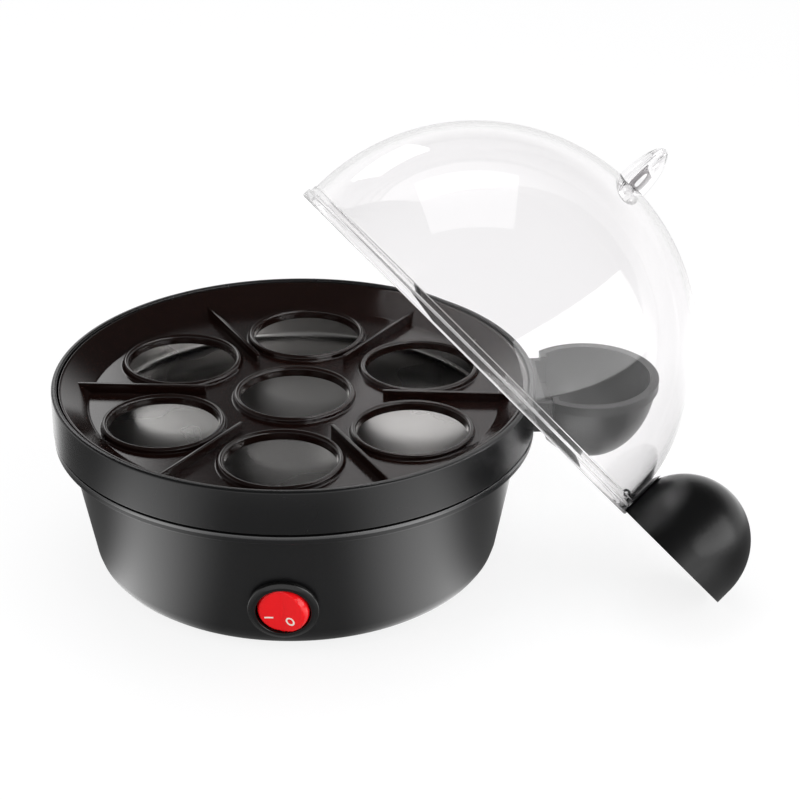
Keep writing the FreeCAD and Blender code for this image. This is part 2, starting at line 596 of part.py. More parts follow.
def make_switch_housing():
    """Round snap-in switch body: flange outside, barrel through the wall."""
    shell = revolved("switch_shell", [
        ("rocker_radius + 2 * fit_gap", "barrel_wall - barrel_depth"),
        ("rocker_radius + 2 * fit_gap", "bezel_thickness"),
        ("bezel_radius", "bezel_thickness"),
        ("bezel_radius", "0"),
        ("barrel_radius", "0"),
        ("barrel_radius", "-barrel_depth"),
        ("0", "-barrel_depth"),
        ("0", "barrel_wall - barrel_depth"),
    ])
    rounded(shell, "bezel_rounding", [("bezel_radius", "bezel_thickness")])
    pivot = doc.addObject("Part::Cylinder", "switch_pivot_bore")
    bind(pivot, Radius="pivot_radius + pivot_gap", Height="2 * rocker_radius + 4 * fit_gap + 2 * pivot_length")
    pivot.Placement = Placement(Vector(), Rotation(Vector(1, 0, 0), -90))
    put(pivot, y="-rocker_radius - 2 * fit_gap - pivot_length", z="-pivot_depth")
    slots = [box("switch_slot_%d" % index, "tab_gauge + 2 * bore_gap", "tab_width + 2 * bore_gap", "4 * barrel_wall", x=side,
                 z="-barrel_depth - 2 * barrel_wall")
             for index, side in enumerate(switch_terminal_places())]
    return at(SWITCH_FRAME, cut("switch_housing", shell, [pivot] + slots))


def switch_terminal_places():
    return ("-barrel_radius / 2", "0", "barrel_radius / 2")


def make_switch_terminals():
    blades = [box("terminal_blade_%d" % index, "tab_gauge", "tab_width", "terminal_length + barrel_wall", x=side,
                  z="-barrel_depth - terminal_length")
              for index, side in enumerate(switch_terminal_places())]
    return at(SWITCH_FRAME, group("switch_terminals", blades))


def make_rocker():
    """Round rocker with two sloping faces; the left one is pressed in at rest."""
    body = doc.addObject("PartDesign::Body", "rocker_form")
    half = "(rocker_radius + fit_gap)"
    rise = "(rocker_rise + pivot_depth)"
    top = "(%s - %s * tan(rocker_end_slope_angle))" % (half, rise)
    nose = "(blade_depth - pivot_depth - blade_gauge - nose_gap)"
    sketch = outline(body, "rocker_profile", "XZ_Plane", [
        ("-" + half, "-rocker_skirt"),
        ("-" + half, "0"),
        ("-" + top, rise),
        ("0", "%s - %s * tan(rocker_tilt_angle)" % (rise, top)),
        (top, rise),
        (half, "0"),
        (half, "-rocker_skirt"),
    ])
    pad = body.newObject("PartDesign::Pad", "rocker_pad")
    pad.Profile = sketch
    pad.Midplane = True
    bind(pad, Length="4 * rocker_radius")
    doc.recompute()
    ball = doc.addObject("Part::Sphere", "rocker_ball")
    bind(ball, Radius=half)
    cap = common("rocker_cap", [body, ball])
    foot = box("rocker_nose", "nose_width", "rocker_radius", nose, z="-" + nose)
    pins = doc.addObject("Part::Cylinder", "rocker_pins")
    bind(pins, Radius="pivot_radius", Height="2 * rocker_radius + 2 * fit_gap + 2 * pivot_length")
    pins.Placement = Placement(Vector(), Rotation(Vector(1, 0, 0), -90))
    put(pins, y="-rocker_radius - fit_gap - pivot_length")
    rocker = fuse("rocker", [cap, foot, pins])
    press = Placement(Vector(0, 0, -size("pivot_depth")), Rotation(Vector(0, 1, 0), -size("rocker_tilt_angle")))
    return at(SWITCH_FRAME, at(press, rocker))


def make_contact_blade():
    blade = box("blade_strip", "blade_length", "blade_width", "blade_gauge")
    saddle = doc.addObject("Part::Cylinder", "blade_saddle")
    bind(saddle, Radius="blade_gauge", Height="blade_width")
    saddle.Placement = Placement(Vector(), Rotation(Vector(1, 0, 0), -90))
    put(saddle, y="-blade_width / 2")
    blade = fuse("contact_blade", [blade, saddle])
    rest = Placement(Vector(0, 0, -size("blade_depth")), Rotation(Vector(0, 1, 0), size("rocker_tilt_angle") / 2))
    return at(SWITCH_FRAME, at(rest, blade))


def make_cord_gland():
    gland = revolved("gland_form", [
        ("gland_bore_radius", "-gland_length + gland_flange_thickness"),
        ("gland_bore_radius", "gland_flange_thickness"),
        ("gland_flange_radius", "gland_flange_thickness"),
        ("gland_flange_radius", "0"),
        ("gland_neck_radius", "0"),
        ("gland_neck_radius", "-pad_depth - fit_gap"),
        ("gland_neck_radius + gland_flange_thickness / 2", "-pad_depth - fit_gap"),
        ("gland_neck_radius", "-gland_length + gland_flange_thickness"),
    ])
    gland.Placement = GLAND_FRAME
    return gland


def make_cord_clamp():
    bar = box("clamp_bar", "clamp_length", "clamp_width", "clamp_thickness", y="clamp_distance",
              z=COVER_TOP + " + clamp_post_height")
    holes = [cylinder("clamp_hole_%d" % index, "screw_shank_radius + bore_gap", "3 * clamp_thickness", x=side,
                      y="clamp_distance", z=COVER_TOP + " + clamp_post_height - clamp_thickness")
             for index, side in enumerate(("-clamp_screw_spread", "clamp_screw_spread"))]
    return cut("cord_clamp", bar, holes)


def make_cord_clamp_screws():
    screws = []
    top = COVER_TOP + " + clamp_post_height + clamp_thickness"
    for index, side in enumerate(("-clamp_screw_spread", "clamp_screw_spread")):
        head = cylinder("clamp_screw_head_%d" % index, "screw_head_radius", "screw_head_height", x=side,
                        y="clamp_distance", z=top)
        shank = cylinder("clamp_screw_shank_%d" % index, "screw_shank_radius", "screw_length - clamp_thickness",
                         x=side, y="clamp_distance", z=top + " - screw_length + clamp_thickness + fit_gap")
        screws.append(fuse("clamp_screw_%d" % index, [head, shank]))
    return group("cord_clamp_screws", screws)


def terminal_places():
    return ("-terminal_pitch", "0", "terminal_pitch")


def make_terminal_block():
    block = box("block_body", "terminal_block_length", "terminal_block_width", "terminal_block_height",
                y="terminal_block_offset", z=COVER_TOP)
    wells = [cylinder("block_well_%d" % index, "terminal_screw_radius + bore_gap", "terminal_block_height", x=side,
                      y="terminal_block_offset", z=COVER_TOP + " + terminal_block_height / 2")
             for index, side in enumerate(terminal_places())]
    return cut("terminal_block", block, wells)


def make_terminal_screws():
    return group("terminal_screws", [
        cylinder("terminal_screw_%d" % index, "terminal_screw_radius", "terminal_block_height / 2 - fit_gap", x=side,
                 y="terminal_block_offset", z=COVER_TOP + " + terminal_block_height / 2")
        for index, side in enumerate(terminal_places())])


def lead(name, route):
    """An insulated wire along straight runs joined by arcs, from end to end of its route."""
    runs = []
    last = route[0]
    for before, corner, after in zip(route, route[1:], route[2:]):
        into = (corner - before).normalize()
        out = (after - corner).normalize()
        turn = into.getAngle(out)
        reach = min((corner - before).Length, (after - corner).Length) * LEAD_SHARE
        reach = min(reach, size("lead_bend") * math.tan(turn / 2))
        radius = reach / math.tan(turn / 2)
        start, end = corner - into * reach, corner + out * reach
        middle = (out - into).normalize()
        centre = corner + middle * (radius / math.cos(turn / 2))
        runs.append(Part.makeLine(last, start))
        runs.append(Part.Arc(start, centre - middle * radius, end).toShape())
        last = end
    runs.append(Part.makeLine(last, route[-1]))
    path = Part.Wire(runs)
    ring = Part.Wire(Part.makeCircle(size("lead_radius"), route[0], route[1] - route[0]))
    thing = doc.addObject("Part::Feature", name)
    thing.Shape = path.makePipeShell([ring], True, True)
    print(name, "length", round(path.Length, 1), "volume over section times length",
          round(thing.Shape.Volume / (math.pi * size("lead_radius") ** 2 * path.Length), 4))
    return thing


# An arc takes this share of the shorter run beside it
LEAD_SHARE = 0.45


def place_of(frame, x, y, z):
    """A point of a wall frame, in the frame of the base."""
    return frame.multVec(Vector(size(x), size(y), size(z)))


def make_leads():
    """Supply to the switch, switch to the thermostat, element back to the terminal block."""
    low = size(COVER_TOP) + size("terminal_block_height") / 4
    block_front = size("terminal_block_offset") - size("terminal_block_width") / 2
    out = SWITCH_FRAME.Rotation.multVec(Vector(0, 0, -1))
    step = size("terminal_length")
    middle, side = (place_of(SWITCH_FRAME, x, "0", "-barrel_depth - terminal_length")
                    for x in switch_terminal_places()[1:])
    under = size(BRACKET_TOP) - size("thermostat_height") - size("tab_length")
    tab = Vector(size("thermostat_radius") / 2, 0, under)
    pitch = size("terminal_pitch")
    supply = [Vector(0, block_front, low), Vector(0, block_front - step, low),
              Vector(0, middle.y + 2 * step, middle.z + step / 2), middle + out * step, middle]
    switched = [side, side + out * step, Vector(side.x + step, side.y + 2 * step, side.z + step),
                Vector(tab.x, tab.y - step / 2, under - step), Vector(tab.x, tab.y, under - step / 2), tab]
    half = math.radians(size("element_opening_angle") / 2)
    pin = Vector(size("element_circle") * math.sin(half), size("element_circle") * math.cos(half),
                 size(ELEMENT_HEIGHT) - size("element_leg") - 2 * size("element_radius"))
    back = size("terminal_block_offset") + size("terminal_block_width") / 2
    other_pin = Vector(-pin.x, pin.y, pin.z)
    returning = [other_pin, other_pin - Vector(0, 0, step), Vector(-pin.x, back + step / 2, low + step),
                 Vector(-pitch, back + step / 2, low), Vector(-pitch, back, low)]
    fuse_height = size(SPREADER_BOTTOM) - size("fuse_radius")
    fuse_end = Vector(size("fuse_length") / 2, -size("fuse_offset"), fuse_height)
    other_tab = Vector(-tab.x, tab.y, tab.z)
    fused = [other_tab, other_tab - Vector(0, 0, step / 2), Vector(-2 * step, -step, under - step / 2),
             Vector(-2 * step, fuse_end.y, fuse_height - step), Vector(-2 * step, fuse_end.y, fuse_height),
             Vector(-fuse_end.x, fuse_end.y, fuse_height)]
    side_run = size("bracket_length") / 2 + step
    heated = [fuse_end, Vector(side_run, fuse_end.y, fuse_height), Vector(side_run, 0, under),
              Vector(side_run, pin.y - step, under - step / 2), Vector(pin.x, pin.y, pin.z - step), pin]
    return {"lead_supply": supply, "lead_switched": switched, "lead_fused": fused, "lead_element": heated,
            "lead_return": returning}


def make_egg_tray():
    """Pressed tray: a dished floor inside a sloping border, seven beaded seats, ribs between the outer ones."""
    floor_under = TRAY_FLOOR + " - tray_gauge"
    dish = revolved("tray_dish", [
        ("0", floor_under),
        ("tray_floor_radius + tray_gauge / 2", floor_under),
        (TRAY_RADIUS + " - tray_gauge", TRAY_TOP + " - 1.6 * tray_gauge"),
        (TRAY_RADIUS + " - tray_gauge", PAN_TOP + " + fit_gap"),
        (TRAY_RADIUS, PAN_TOP + " + fit_gap"),
        (TRAY_RADIUS, TRAY_TOP),
        (TRAY_RADIUS + " - tray_edge_width", TRAY_TOP),
        ("tray_floor_radius", TRAY_FLOOR),
        ("0", TRAY_FLOOR),
    ])
    seats = [{"x": "0", "y": "0"}] + around(lambda index, angle: polar("seat_pitch", angle), OUTER_SEATS, -90)
    holes = []
    beads = []
    for index, place in enumerate(seats):
        holes.append(cylinder("seat_hole_%d" % index, "seat_radius + bead_radius / 2", "4 * tray_gauge",
                              z=floor_under + " - tray_gauge", **place))
        bead = doc.addObject("Part::Torus", "seat_bead_%d" % index)
        bind(bead, Radius1="seat_radius + bead_radius", Radius2="bead_radius")
        beads.append(put(bead, z=TRAY_FLOOR + " + bead_radius / 2", **place))
    ribs = []
    for index in range(OUTER_SEATS):
        rib = doc.addObject("PartDesign::Body", "rib_%d" % index)
        sketch = outline(rib, "rib_profile_%d" % index, "XZ_Plane", [
            ("rib_inner_radius", TRAY_FLOOR + " - tray_gauge / 2"),
            ("tray_floor_radius", TRAY_FLOOR + " - tray_gauge / 2"),
            ("rib_outer_radius", RIB_TOP + " - tray_gauge / 4"),
            ("rib_outer_radius", RIB_TOP),
            ("rib_inner_radius", RIB_TOP),
        ])
        pad = rib.newObject("PartDesign::Pad", "rib_pad_%d" % index)
        pad.Profile = sketch
        pad.Midplane = True
        bind(pad, Length="rib_thickness")
        doc.recompute()
        ribs.append(turned(rib, index * FULL_TURN / OUTER_SEATS))
    pierced = cut("tray_pierced", dish, holes)
    return fuse("egg_tray", [pierced] + beads + ribs)


def lid_frame():
    """Where the lid's own frame goes when it leans on the rim and stands on the edge of its handle."""
    turn = Rotation(Vector(0, 0, 1), size("lean_turn_angle"))
    lean = turn.multiply(Rotation(Vector(0, 1, 0), size("lean_tilt_angle")))
    stand = lean.multiply(Rotation(Vector(0, 0, 1), size("lean_roll_angle")))
    middle = stand.multVec(Vector(size("lid_handle_reach"), 0, size("lid_handle_edge")))
    along = stand.multVec(Vector(size("lid_handle_radial"), 0, 0)).z
    across = stand.multVec(Vector(0, size("lid_handle_lateral"), 0)).z
    height = size("floor_gap") - middle.z + math.hypot(along, across)
    tilt = math.radians(size("lean_tilt_angle"))
    level = size("base_height") - height
    chord = size("base_radius") - size("lean_bite")
    forward = chord + level * math.cos(tilt) / math.sin(tilt)
    half_chord = math.sqrt(size("base_radius") ** 2 - chord ** 2)
    mouth = size(SKIRT_INSIDE) - size("lean_gap")
    sideways = half_chord - math.sqrt(mouth ** 2 - (level / math.sin(tilt)) ** 2)
    place = turn.multVec(Vector(forward, sideways, height))
    return Placement(place, stand)


LID_FRAME = lid_frame()


def make_lid_dome():
    skirt = cylinder("lid_skirt", "lid_radius", "skirt_height")
    step = cylinder("lid_step", "lid_radius - step_inset", BAND_TOP)
    dome = doc.addObject("Part::Sphere", "lid_dome_outside")
    bind(dome, Radius=DOME_RADIUS)
    dome.Angle1 = 0
    put(dome, z=BAND_TOP)
    hollow = doc.addObject("Part::Sphere", "lid_dome_inside")
    bind(hollow, Radius=DOME_RADIUS + " - dome_wall")
    hollow.Angle1 = 0
    put(hollow, z=BAND_TOP)
    throat = cylinder("lid_throat", DOME_RADIUS + " - dome_wall", "2 * " + BAND_TOP, z="-" + BAND_TOP)
    mouth = cylinder("lid_mouth", SKIRT_INSIDE, "2 * skirt_height", z="-skirt_height")
    slot = box("lid_vent_slot", "vent_slot_width + 2 * bore_gap", "vent_slot_length + 2 * bore_gap",
               "lid_radius", x="-vent_slot_offset", z=BAND_TOP + " + lid_radius / 2")
    holes = [cylinder("lid_peg_hole_%d" % index, "knob_peg_radius + bore_gap", "lid_radius", y=side,
                      z=BAND_TOP + " + lid_radius / 2")
             for index, side in enumerate(("-knob_peg_spread", "knob_peg_spread"))]
    return at(LID_FRAME, cut("lid_dome", fuse("lid_solid", [skirt, step, dome]),
                             [hollow, throat, mouth, slot, hook_arm("lid_hook_slot", "bore_gap")] + holes))


def make_lid_knob():
    """Clear upright grip on the crown, long across the handle's direction, on two pegs through the dome."""
    crown = BAND_TOP + " + " + DOME_RADIUS
    form = ellipsoid("knob_form", "knob_height", "knob_width / 2", "knob_length / 2", 0, 90, z=crown)
    root = ellipsoid("knob_root", "knob_sink * 3", "knob_width / 2", "knob_length / 2", -90, 0, z=crown)
    seat = doc.addObject("Part::Sphere", "knob_seat")
    bind(seat, Radius=DOME_RADIUS + " + bore_gap")
    put(seat, z=BAND_TOP)
    notch = box("knob_notch", "knob_width", "vent_slot_length + 2 * bore_gap", "knob_height",
                x="vent_slot_width / 2 + bore_gap - vent_slot_offset - knob_width / 2",
                z=crown + " + vent_rise + vent_clearance - knob_height")
    grip = cut("knob_grip", fuse("knob_solid", [form, root]), [seat, notch])
    pegs = [cylinder("knob_peg_%d" % index, "knob_peg_radius", "dome_wall + 2 * knob_peg_reach + knob_sink", y=side,
                     z=crown + " - dome_wall - 2 * knob_peg_reach")
            for index, side in enumerate(("-knob_peg_spread", "knob_peg_spread"))]
    return at(LID_FRAME, fuse("lid_knob", [grip] + pegs))


def make_lid_vent():
    """Small steam vent: an upright sleeve through the slot, in a notch at the root of the knob."""
    outside = box("vent_body", "vent_slot_width", "vent_slot_length", "lid_radius", x="-vent_slot_offset",
                  z=BAND_TOP + " + lid_radius / 2")
    cap = doc.addObject("Part::Sphere", "vent_cap")
    bind(cap, Radius=DOME_RADIUS + " + vent_rise")
    put(cap, z=BAND_TOP)
    core = doc.addObject("Part::Sphere", "vent_core")
    bind(core, Radius=DOME_RADIUS + " - dome_wall")
    put(core, z=BAND_TOP)
    bore = box("vent_bore", "vent_slot_width / 3", "vent_slot_length / 2", "2 * lid_radius", x="-vent_slot_offset")
    return at(LID_FRAME, cut("lid_vent", common("vent_solid", [outside, cap]), [core, bore]))


def half_ball(name, change, depth):
    """The lid handle's form, larger by a change: half an ellipsoid over a straight wall of some depth."""
    sizes = ["lid_handle_%s + %s" % (along, change) for along in ("radial", "lateral")]
    seam = "(lid_handle_edge + lid_handle_straight)"
    crest = ellipsoid(name + "_crest", "lid_handle_rise + " + change, *sizes, 0, 90, x="lid_handle_reach", z=seam)
    wall = ellipsoid(name + "_wall", "10 * lid_handle_rise", *sizes, -90, 0, x="lid_handle_reach", z=seam)
    keep = box(name + "_keep", "3 * lid_handle_radial", "3 * lid_handle_lateral", depth,
               x="lid_handle_reach", z="%s - %s" % (seam, depth))
    return fuse(name, [crest, common(name + "_foot", [wall, keep])])


HOOK_REACH = "(%s - dome_wall - hook_gap - hook_radius)" % DOME_RADIUS
HOOK_HEIGHT = "(%s + hook_rise)" % BAND_TOP


def hook_arm(name, play):
    """The flat arm by which the lid's handle reaches through the dome's wall, with some play all round it."""
    length = "(%s + handle_wall - %s)" % (DOME_RADIUS, HOOK_REACH)
    return box(name, length, "hook_length + 2 * " + play, "hook_thickness + 2 * " + play,
               x="%s + %s / 2" % (HOOK_REACH, length), z="%s - hook_thickness / 2 - %s" % (HOOK_HEIGHT, play))


def make_lid_handle():
    """A half ball beside the rim, its end shaped to the dome with a thin lip, and a hook inside the dome."""
    outer = half_ball("lid_handle_ball", "0", "lid_handle_straight")
    grown = half_ball("lid_handle_grown", "lid_handle_lip", "lid_handle_straight")
    inner = half_ball("lid_handle_hollow", "(-handle_wall)", "(lid_handle_straight + lid_handle_edge)")
    spheres = []
    for name, gap in (("band", "lid_handle_lip_width"), ("dome_tool", "seal_gap"), ("back", "seal_gap + handle_wall")):
        sphere = doc.addObject("Part::Sphere", "lid_handle_" + name)
        bind(sphere, Radius="%s + %s" % (DOME_RADIUS, gap))
        spheres.append(put(sphere, z=BAND_TOP))
    band, dome, back = spheres
    skirt = cylinder("lid_handle_skirt_tool", "lid_radius + seal_gap", BAND_TOP + " + seal_gap")
    hollow = cut("lid_handle_room", inner, [back])
    form = cut("lid_handle_form", fuse("lid_handle_solid", [outer, common("lid_handle_lip_form", [grown, band])]),
               [hollow, dome, skirt])
    rings = []
    for name, radius in (("hook_ring", "hook_radius"), ("hook_bore", "hook_bore_radius")):
        ring = doc.addObject("Part::Cylinder", name)
        bind(ring, Radius=radius, Height="hook_length")
        ring.Placement = Placement(Vector(), Rotation(Vector(1, 0, 0), -FULL_TURN / 4))
        rings.append(put(ring, x=HOOK_REACH, y="-hook_length / 2", z=HOOK_HEIGHT))
    hooked = fuse("lid_handle_hooked", [form, hook_arm("hook_arm", "0"), rings[0]])
    return at(LID_FRAME, cut("lid_handle", hooked, [rings[1]]))


MAKERS = {
    "lower_housing": make_lower_housing, "rim_collar": make_rim_collar, "base_handle": make_base_handle,
    "base_handle_screws": make_base_handle_screws, "bottom_cover": make_bottom_cover,
    "bottom_screws": make_bottom_screws, "rubber_feet": make_rubber_feet, "water_pan": make_water_pan,
    "pan_seal": make_pan_seal, "heat_spreader": make_heat_spreader, "heating_element": make_heating_element,
    "thermostat": make_thermostat, "thermostat_bracket": make_thermostat_bracket,
    "thermostat_screws": make_thermostat_screws, "thermal_fuse": make_thermal_fuse, "fuse_clip": make_fuse_clip,
    "switch_housing": make_switch_housing, "switch_terminals": make_switch_terminals, "rocker": make_rocker,
    "contact_blade": make_contact_blade, "cord_gland": make_cord_gland, "cord_clamp": make_cord_clamp,
    "cord_clamp_screws": make_cord_clamp_screws, "terminal_block": make_terminal_block,
    "terminal_screws": make_terminal_screws, "egg_tray": make_egg_tray, "lid_dome": make_lid_dome,
    "lid_knob": make_lid_knob, "lid_vent": make_lid_vent, "lid_handle": make_lid_handle,
}
for name, make in MAKERS.items():
    subpart(name, make())
doc.recompute()
for name, route in make_leads().items():
    subpart(name, lead(name, route))
doc.recompute()

for thing in doc.Objects:
    if "Invalid" in thing.State or "Error" in thing.State:
        raise RuntimeError("%s did not recompute: %s" % (thing.Name, thing.State))
for name, thing in SUBPARTS.items():
    if thing.Shape.isNull() or not thing.Shape.isValid() or not thing.Shape.Solids:
        raise RuntimeError("%s has no valid shape" % name)

os.makedirs("parts", exist_ok=True)
for name, thing in SUBPARTS.items():
    thing.Shape.exportStep("parts/%s.step" % name)
    corners = thing.Shape.BoundBox
    print("%-22s solids %d  volume %9.1f  z %.1f to %.1f" % (name, len(thing.Shape.Solids), thing.Shape.Volume,
                                                           corners.ZMin, corners.ZMax))
for name, frame in (("lid", LID_FRAME), ("switch", SWITCH_FRAME), ("inlet", GLAND_FRAME)):
    print(name, "frame at", [round(value, 4) for value in frame.Base])
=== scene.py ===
# %% [markdown]
# # A round egg boiler, dressed over its CAD frame
#
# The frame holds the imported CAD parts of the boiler: base, tray, clear lid, handles, switch and what is inside.
# Here each part gets its finish, and the parts whose look depends on soft edges, thin clear walls or small marks
# are modelled again in mesh code. Everything is in metres, in the CAD's own frame: the axis of the base is Z,
# the switch faces -Y and the two handles lie towards +X.

# %% Load the frame
import math

import bmesh
import bpy
from mathutils import Euler, Matrix, Vector


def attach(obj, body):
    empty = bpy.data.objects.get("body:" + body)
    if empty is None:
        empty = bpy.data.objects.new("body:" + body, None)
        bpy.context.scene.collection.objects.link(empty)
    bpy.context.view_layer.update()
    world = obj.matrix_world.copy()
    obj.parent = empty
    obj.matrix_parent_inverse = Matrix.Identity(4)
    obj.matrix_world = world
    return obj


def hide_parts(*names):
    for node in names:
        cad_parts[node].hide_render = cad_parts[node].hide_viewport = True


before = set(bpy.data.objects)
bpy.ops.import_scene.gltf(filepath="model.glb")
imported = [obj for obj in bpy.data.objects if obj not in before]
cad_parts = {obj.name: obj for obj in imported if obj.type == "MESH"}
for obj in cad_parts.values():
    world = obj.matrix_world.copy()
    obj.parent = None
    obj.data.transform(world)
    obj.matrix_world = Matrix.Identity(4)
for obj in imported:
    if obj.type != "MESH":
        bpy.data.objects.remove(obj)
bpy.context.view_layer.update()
MM = 0.001

# %% [markdown]
# ## Camera
#
# A camera model fitted to the outline of the rim, of the collar and of the foot gave the place, the tilt and the
# lens. It stands 0.9 m away, a little above the object, so the lens is long and the picture nearly parallel.

# %% Place the camera
CAMERA_PLACE = Vector((0.07998, -0.78926, 0.45968))
CAMERA_TURN = Euler((math.radians(63.246), 0.0, math.radians(3.121)))
LENS, SENSOR_WIDTH, CLIP_START = 114.3, 36.0, 0.01

camera_data = bpy.data.cameras.new("photo_camera")
camera_data.lens = LENS
camera_data.sensor_width = SENSOR_WIDTH
camera_data.clip_start = CLIP_START
camera = bpy.data.objects.new("photo_camera", camera_data)
camera.location = CAMERA_PLACE
camera.rotation_euler = CAMERA_TURN
bpy.context.scene.collection.objects.link(camera)
bpy.context.scene.camera = camera
print("camera", tuple(round(v, 3) for v in camera.location))

# %% [markdown]
# ## Helpers for shader trees
#
# Every finish and the stage are node trees. Small helpers keep them short: one makes an empty material, one adds a
# node with its settings and one fills a node's inputs by name. Two more make a smooth step from one value to another
# and a blend of two values.

# %% Helpers for shader trees
def new_material(name):
    """A material with an empty tree and its output node."""
    material = bpy.data.materials.new(name)
    material.use_nodes = True
    tree = material.node_tree
    tree.nodes.clear()
    return material, tree, tree.nodes.new("ShaderNodeOutputMaterial")


def node(tree, kind, **settings):
    """A node with its settings."""
    made = tree.nodes.new(kind)
    for key, value in settings.items():
        setattr(made, key, value)
    return made


def fill(made, **inputs):
    """Fill a node's inputs by name, with underscores for spaces."""
    for key, value in inputs.items():
        made.inputs[key.replace("_", " ")].default_value = value
    return made


def ramp(tree, source, low, high, start, end):
    """A smooth step from one value to another, as the source goes from low to high."""
    made = node(tree, "ShaderNodeMapRange", interpolation_type="SMOOTHSTEP")
    fill(made, From_Min=low, From_Max=high, To_Min=start, To_Max=end)
    tree.links.new(source, made.inputs["Value"])
    return made.outputs["Result"]


def blend(tree, share, first, second):
    """A number between two others: each is a socket or a plain value."""
    made = node(tree, "ShaderNodeMix", data_type="FLOAT")
    for index, item in enumerate((share, first, second)):
        socket = made.inputs[(0, 2, 3)[index]]
        if isinstance(item, (int, float)):
            socket.default_value = item
        else:
            tree.links.new(item, socket)
    return made.outputs[0]


# %% [markdown]
# ## Stage
#
# A product like this is shot on white. The white comes from the colour of the floor and of the world where the
# camera looks at them, not from strong lamps, so the object keeps plain light and the floor still takes its shadow.
# Gloss needs something to mirror. The steep walls of the base are seen from above, so they mirror the floor close
# by: there the floor shows them soft bright cards between the front and each side, with darker gaps, as in a studio.
# Higher up the world is white at the horizon and darker overhead, which keeps the flat tray deep and its slopes
# bright.

# %% World
WHITE = (1.0, 1.0, 1.0, 1.0)
WORLD_LEVEL = 0.42
# What gloss mirrors: the brightness low and overhead, and the sines of the heights between which it falls.
SKY_LOW, SKY_HIGH = 1.0, 0.06
SKY_START, SKY_END = 0.18, 0.46


def seen_or_passed(tree, rays):
    """1 where the camera looks, straight or through clear plastic."""
    either = node(tree, "ShaderNodeMath", operation="MAXIMUM")
    tree.links.new(rays.outputs["Is Camera Ray"], either.inputs[0])
    tree.links.new(rays.outputs["Is Transmission Ray"], either.inputs[1])
    return either.outputs[0]


world = bpy.data.worlds.new("studio")
bpy.context.scene.world = world
world.use_nodes = True
tree = world.node_tree
tree.nodes.clear()
rays = node(tree, "ShaderNodeLightPath")
where = node(tree, "ShaderNodeTexCoord")
parts = node(tree, "ShaderNodeSeparateXYZ")
tree.links.new(where.outputs["Generated"], parts.inputs[0])
sky = ramp(tree, parts.outputs["Z"], SKY_START, SKY_END, SKY_LOW, SKY_HIGH)
mirrored = blend(tree, rays.outputs["Is Glossy Ray"], WORLD_LEVEL, sky)
strength = blend(tree, seen_or_passed(tree, rays), mirrored, 1.0)
glow = fill(node(tree, "ShaderNodeBackground"), Color=WHITE)
out = node(tree, "ShaderNodeOutputWorld")
tree.links.new(strength, glow.inputs["Strength"])
tree.links.new(glow.outputs[0], out.inputs["Surface"])
print("world level", WORLD_LEVEL)

# %% Floor plane
FLOOR_SIZE = 6.0

floor_mesh = bmesh.new()
bmesh.ops.create_grid(floor_mesh, x_segments=1, y_segments=1, size=FLOOR_SIZE)
floor_data = bpy.data.meshes.new("floor")
floor_mesh.to_mesh(floor_data)
floor_mesh.free()
floor = bpy.data.objects.new("floor", floor_data)
bpy.context.scene.collection.objects.link(floor)
print("floor faces", len(floor_data.polygons))

# %% The cards on the floor
# The cards: their brightness in front, at the peak and at the side, and where these lie, as |x| over the distance.
CARD_LOW, CARD_HIGH, CARD_SIDE = 0.25, 2.0, 0.18
CARD_START, CARD_PEAK, CARD_END = 0.30, 0.84, 1.0
# The distances in metres between which the cards give way to the plain far floor.
NEAR, FAR = 0.20, 0.55
FAR_LEVEL = 0.95

material, tree, out = new_material("white_floor")
rays = node(tree, "ShaderNodeLightPath")
where = node(tree, "ShaderNodeTexCoord")
away = node(tree, "ShaderNodeVectorMath", operation="LENGTH")
parts = node(tree, "ShaderNodeSeparateXYZ")
sideways = node(tree, "ShaderNodeMath", operation="ABSOLUTE")
turn = node(tree, "ShaderNodeMath", operation="DIVIDE")
tree.links.new(where.outputs["Object"], away.inputs[0])
tree.links.new(where.outputs["Object"], parts.inputs[0])
tree.links.new(parts.outputs["X"], sideways.inputs[0])
tree.links.new(sideways.outputs[0], turn.inputs[0])
tree.links.new(away.outputs["Value"], turn.inputs[1])
front = ramp(tree, turn.outputs[0], CARD_START, CARD_PEAK, CARD_LOW, CARD_HIGH)
side = ramp(tree, turn.outputs[0], CARD_PEAK, CARD_END, 0.0, 1.0)
cards = blend(tree, side, front, CARD_SIDE)
near = ramp(tree, away.outputs["Value"], NEAR, FAR, 0.0, 1.0)
print("cards up to", CARD_HIGH)

# %% What the floor shows to each kind of ray
# The camera sees a glow and a dim matt part that takes the shadow, gloss sees the cards, the rest meets matt white.
FLOOR_GLOW = 0.83
FLOOR_DIM = (0.21, 0.21, 0.213, 1.0)
FLOOR_MATT = (0.82, 0.82, 0.825, 1.0)

matt = fill(node(tree, "ShaderNodeBsdfDiffuse"), Color=FLOOR_MATT)
lit = fill(node(tree, "ShaderNodeEmission"), Color=WHITE, Strength=FLOOR_GLOW)
dim = fill(node(tree, "ShaderNodeBsdfDiffuse"), Color=FLOOR_DIM)
shown = fill(node(tree, "ShaderNodeEmission"), Color=WHITE)
tree.links.new(blend(tree, near, cards, FAR_LEVEL), shown.inputs["Strength"])
both = node(tree, "ShaderNodeAddShader")
glossy_pick = node(tree, "ShaderNodeMixShader")
pick = node(tree, "ShaderNodeMixShader")
tree.links.new(lit.outputs[0], both.inputs[0])
tree.links.new(dim.outputs[0], both.inputs[1])
tree.links.new(rays.outputs["Is Glossy Ray"], glossy_pick.inputs["Fac"])
tree.links.new(matt.outputs[0], glossy_pick.inputs[1])
tree.links.new(shown.outputs[0], glossy_pick.inputs[2])
tree.links.new(seen_or_passed(tree, rays), pick.inputs["Fac"])
tree.links.new(glossy_pick.outputs[0], pick.inputs[1])
tree.links.new(both.outputs[0], pick.inputs[2])
tree.links.new(pick.outputs[0], out.inputs["Surface"])
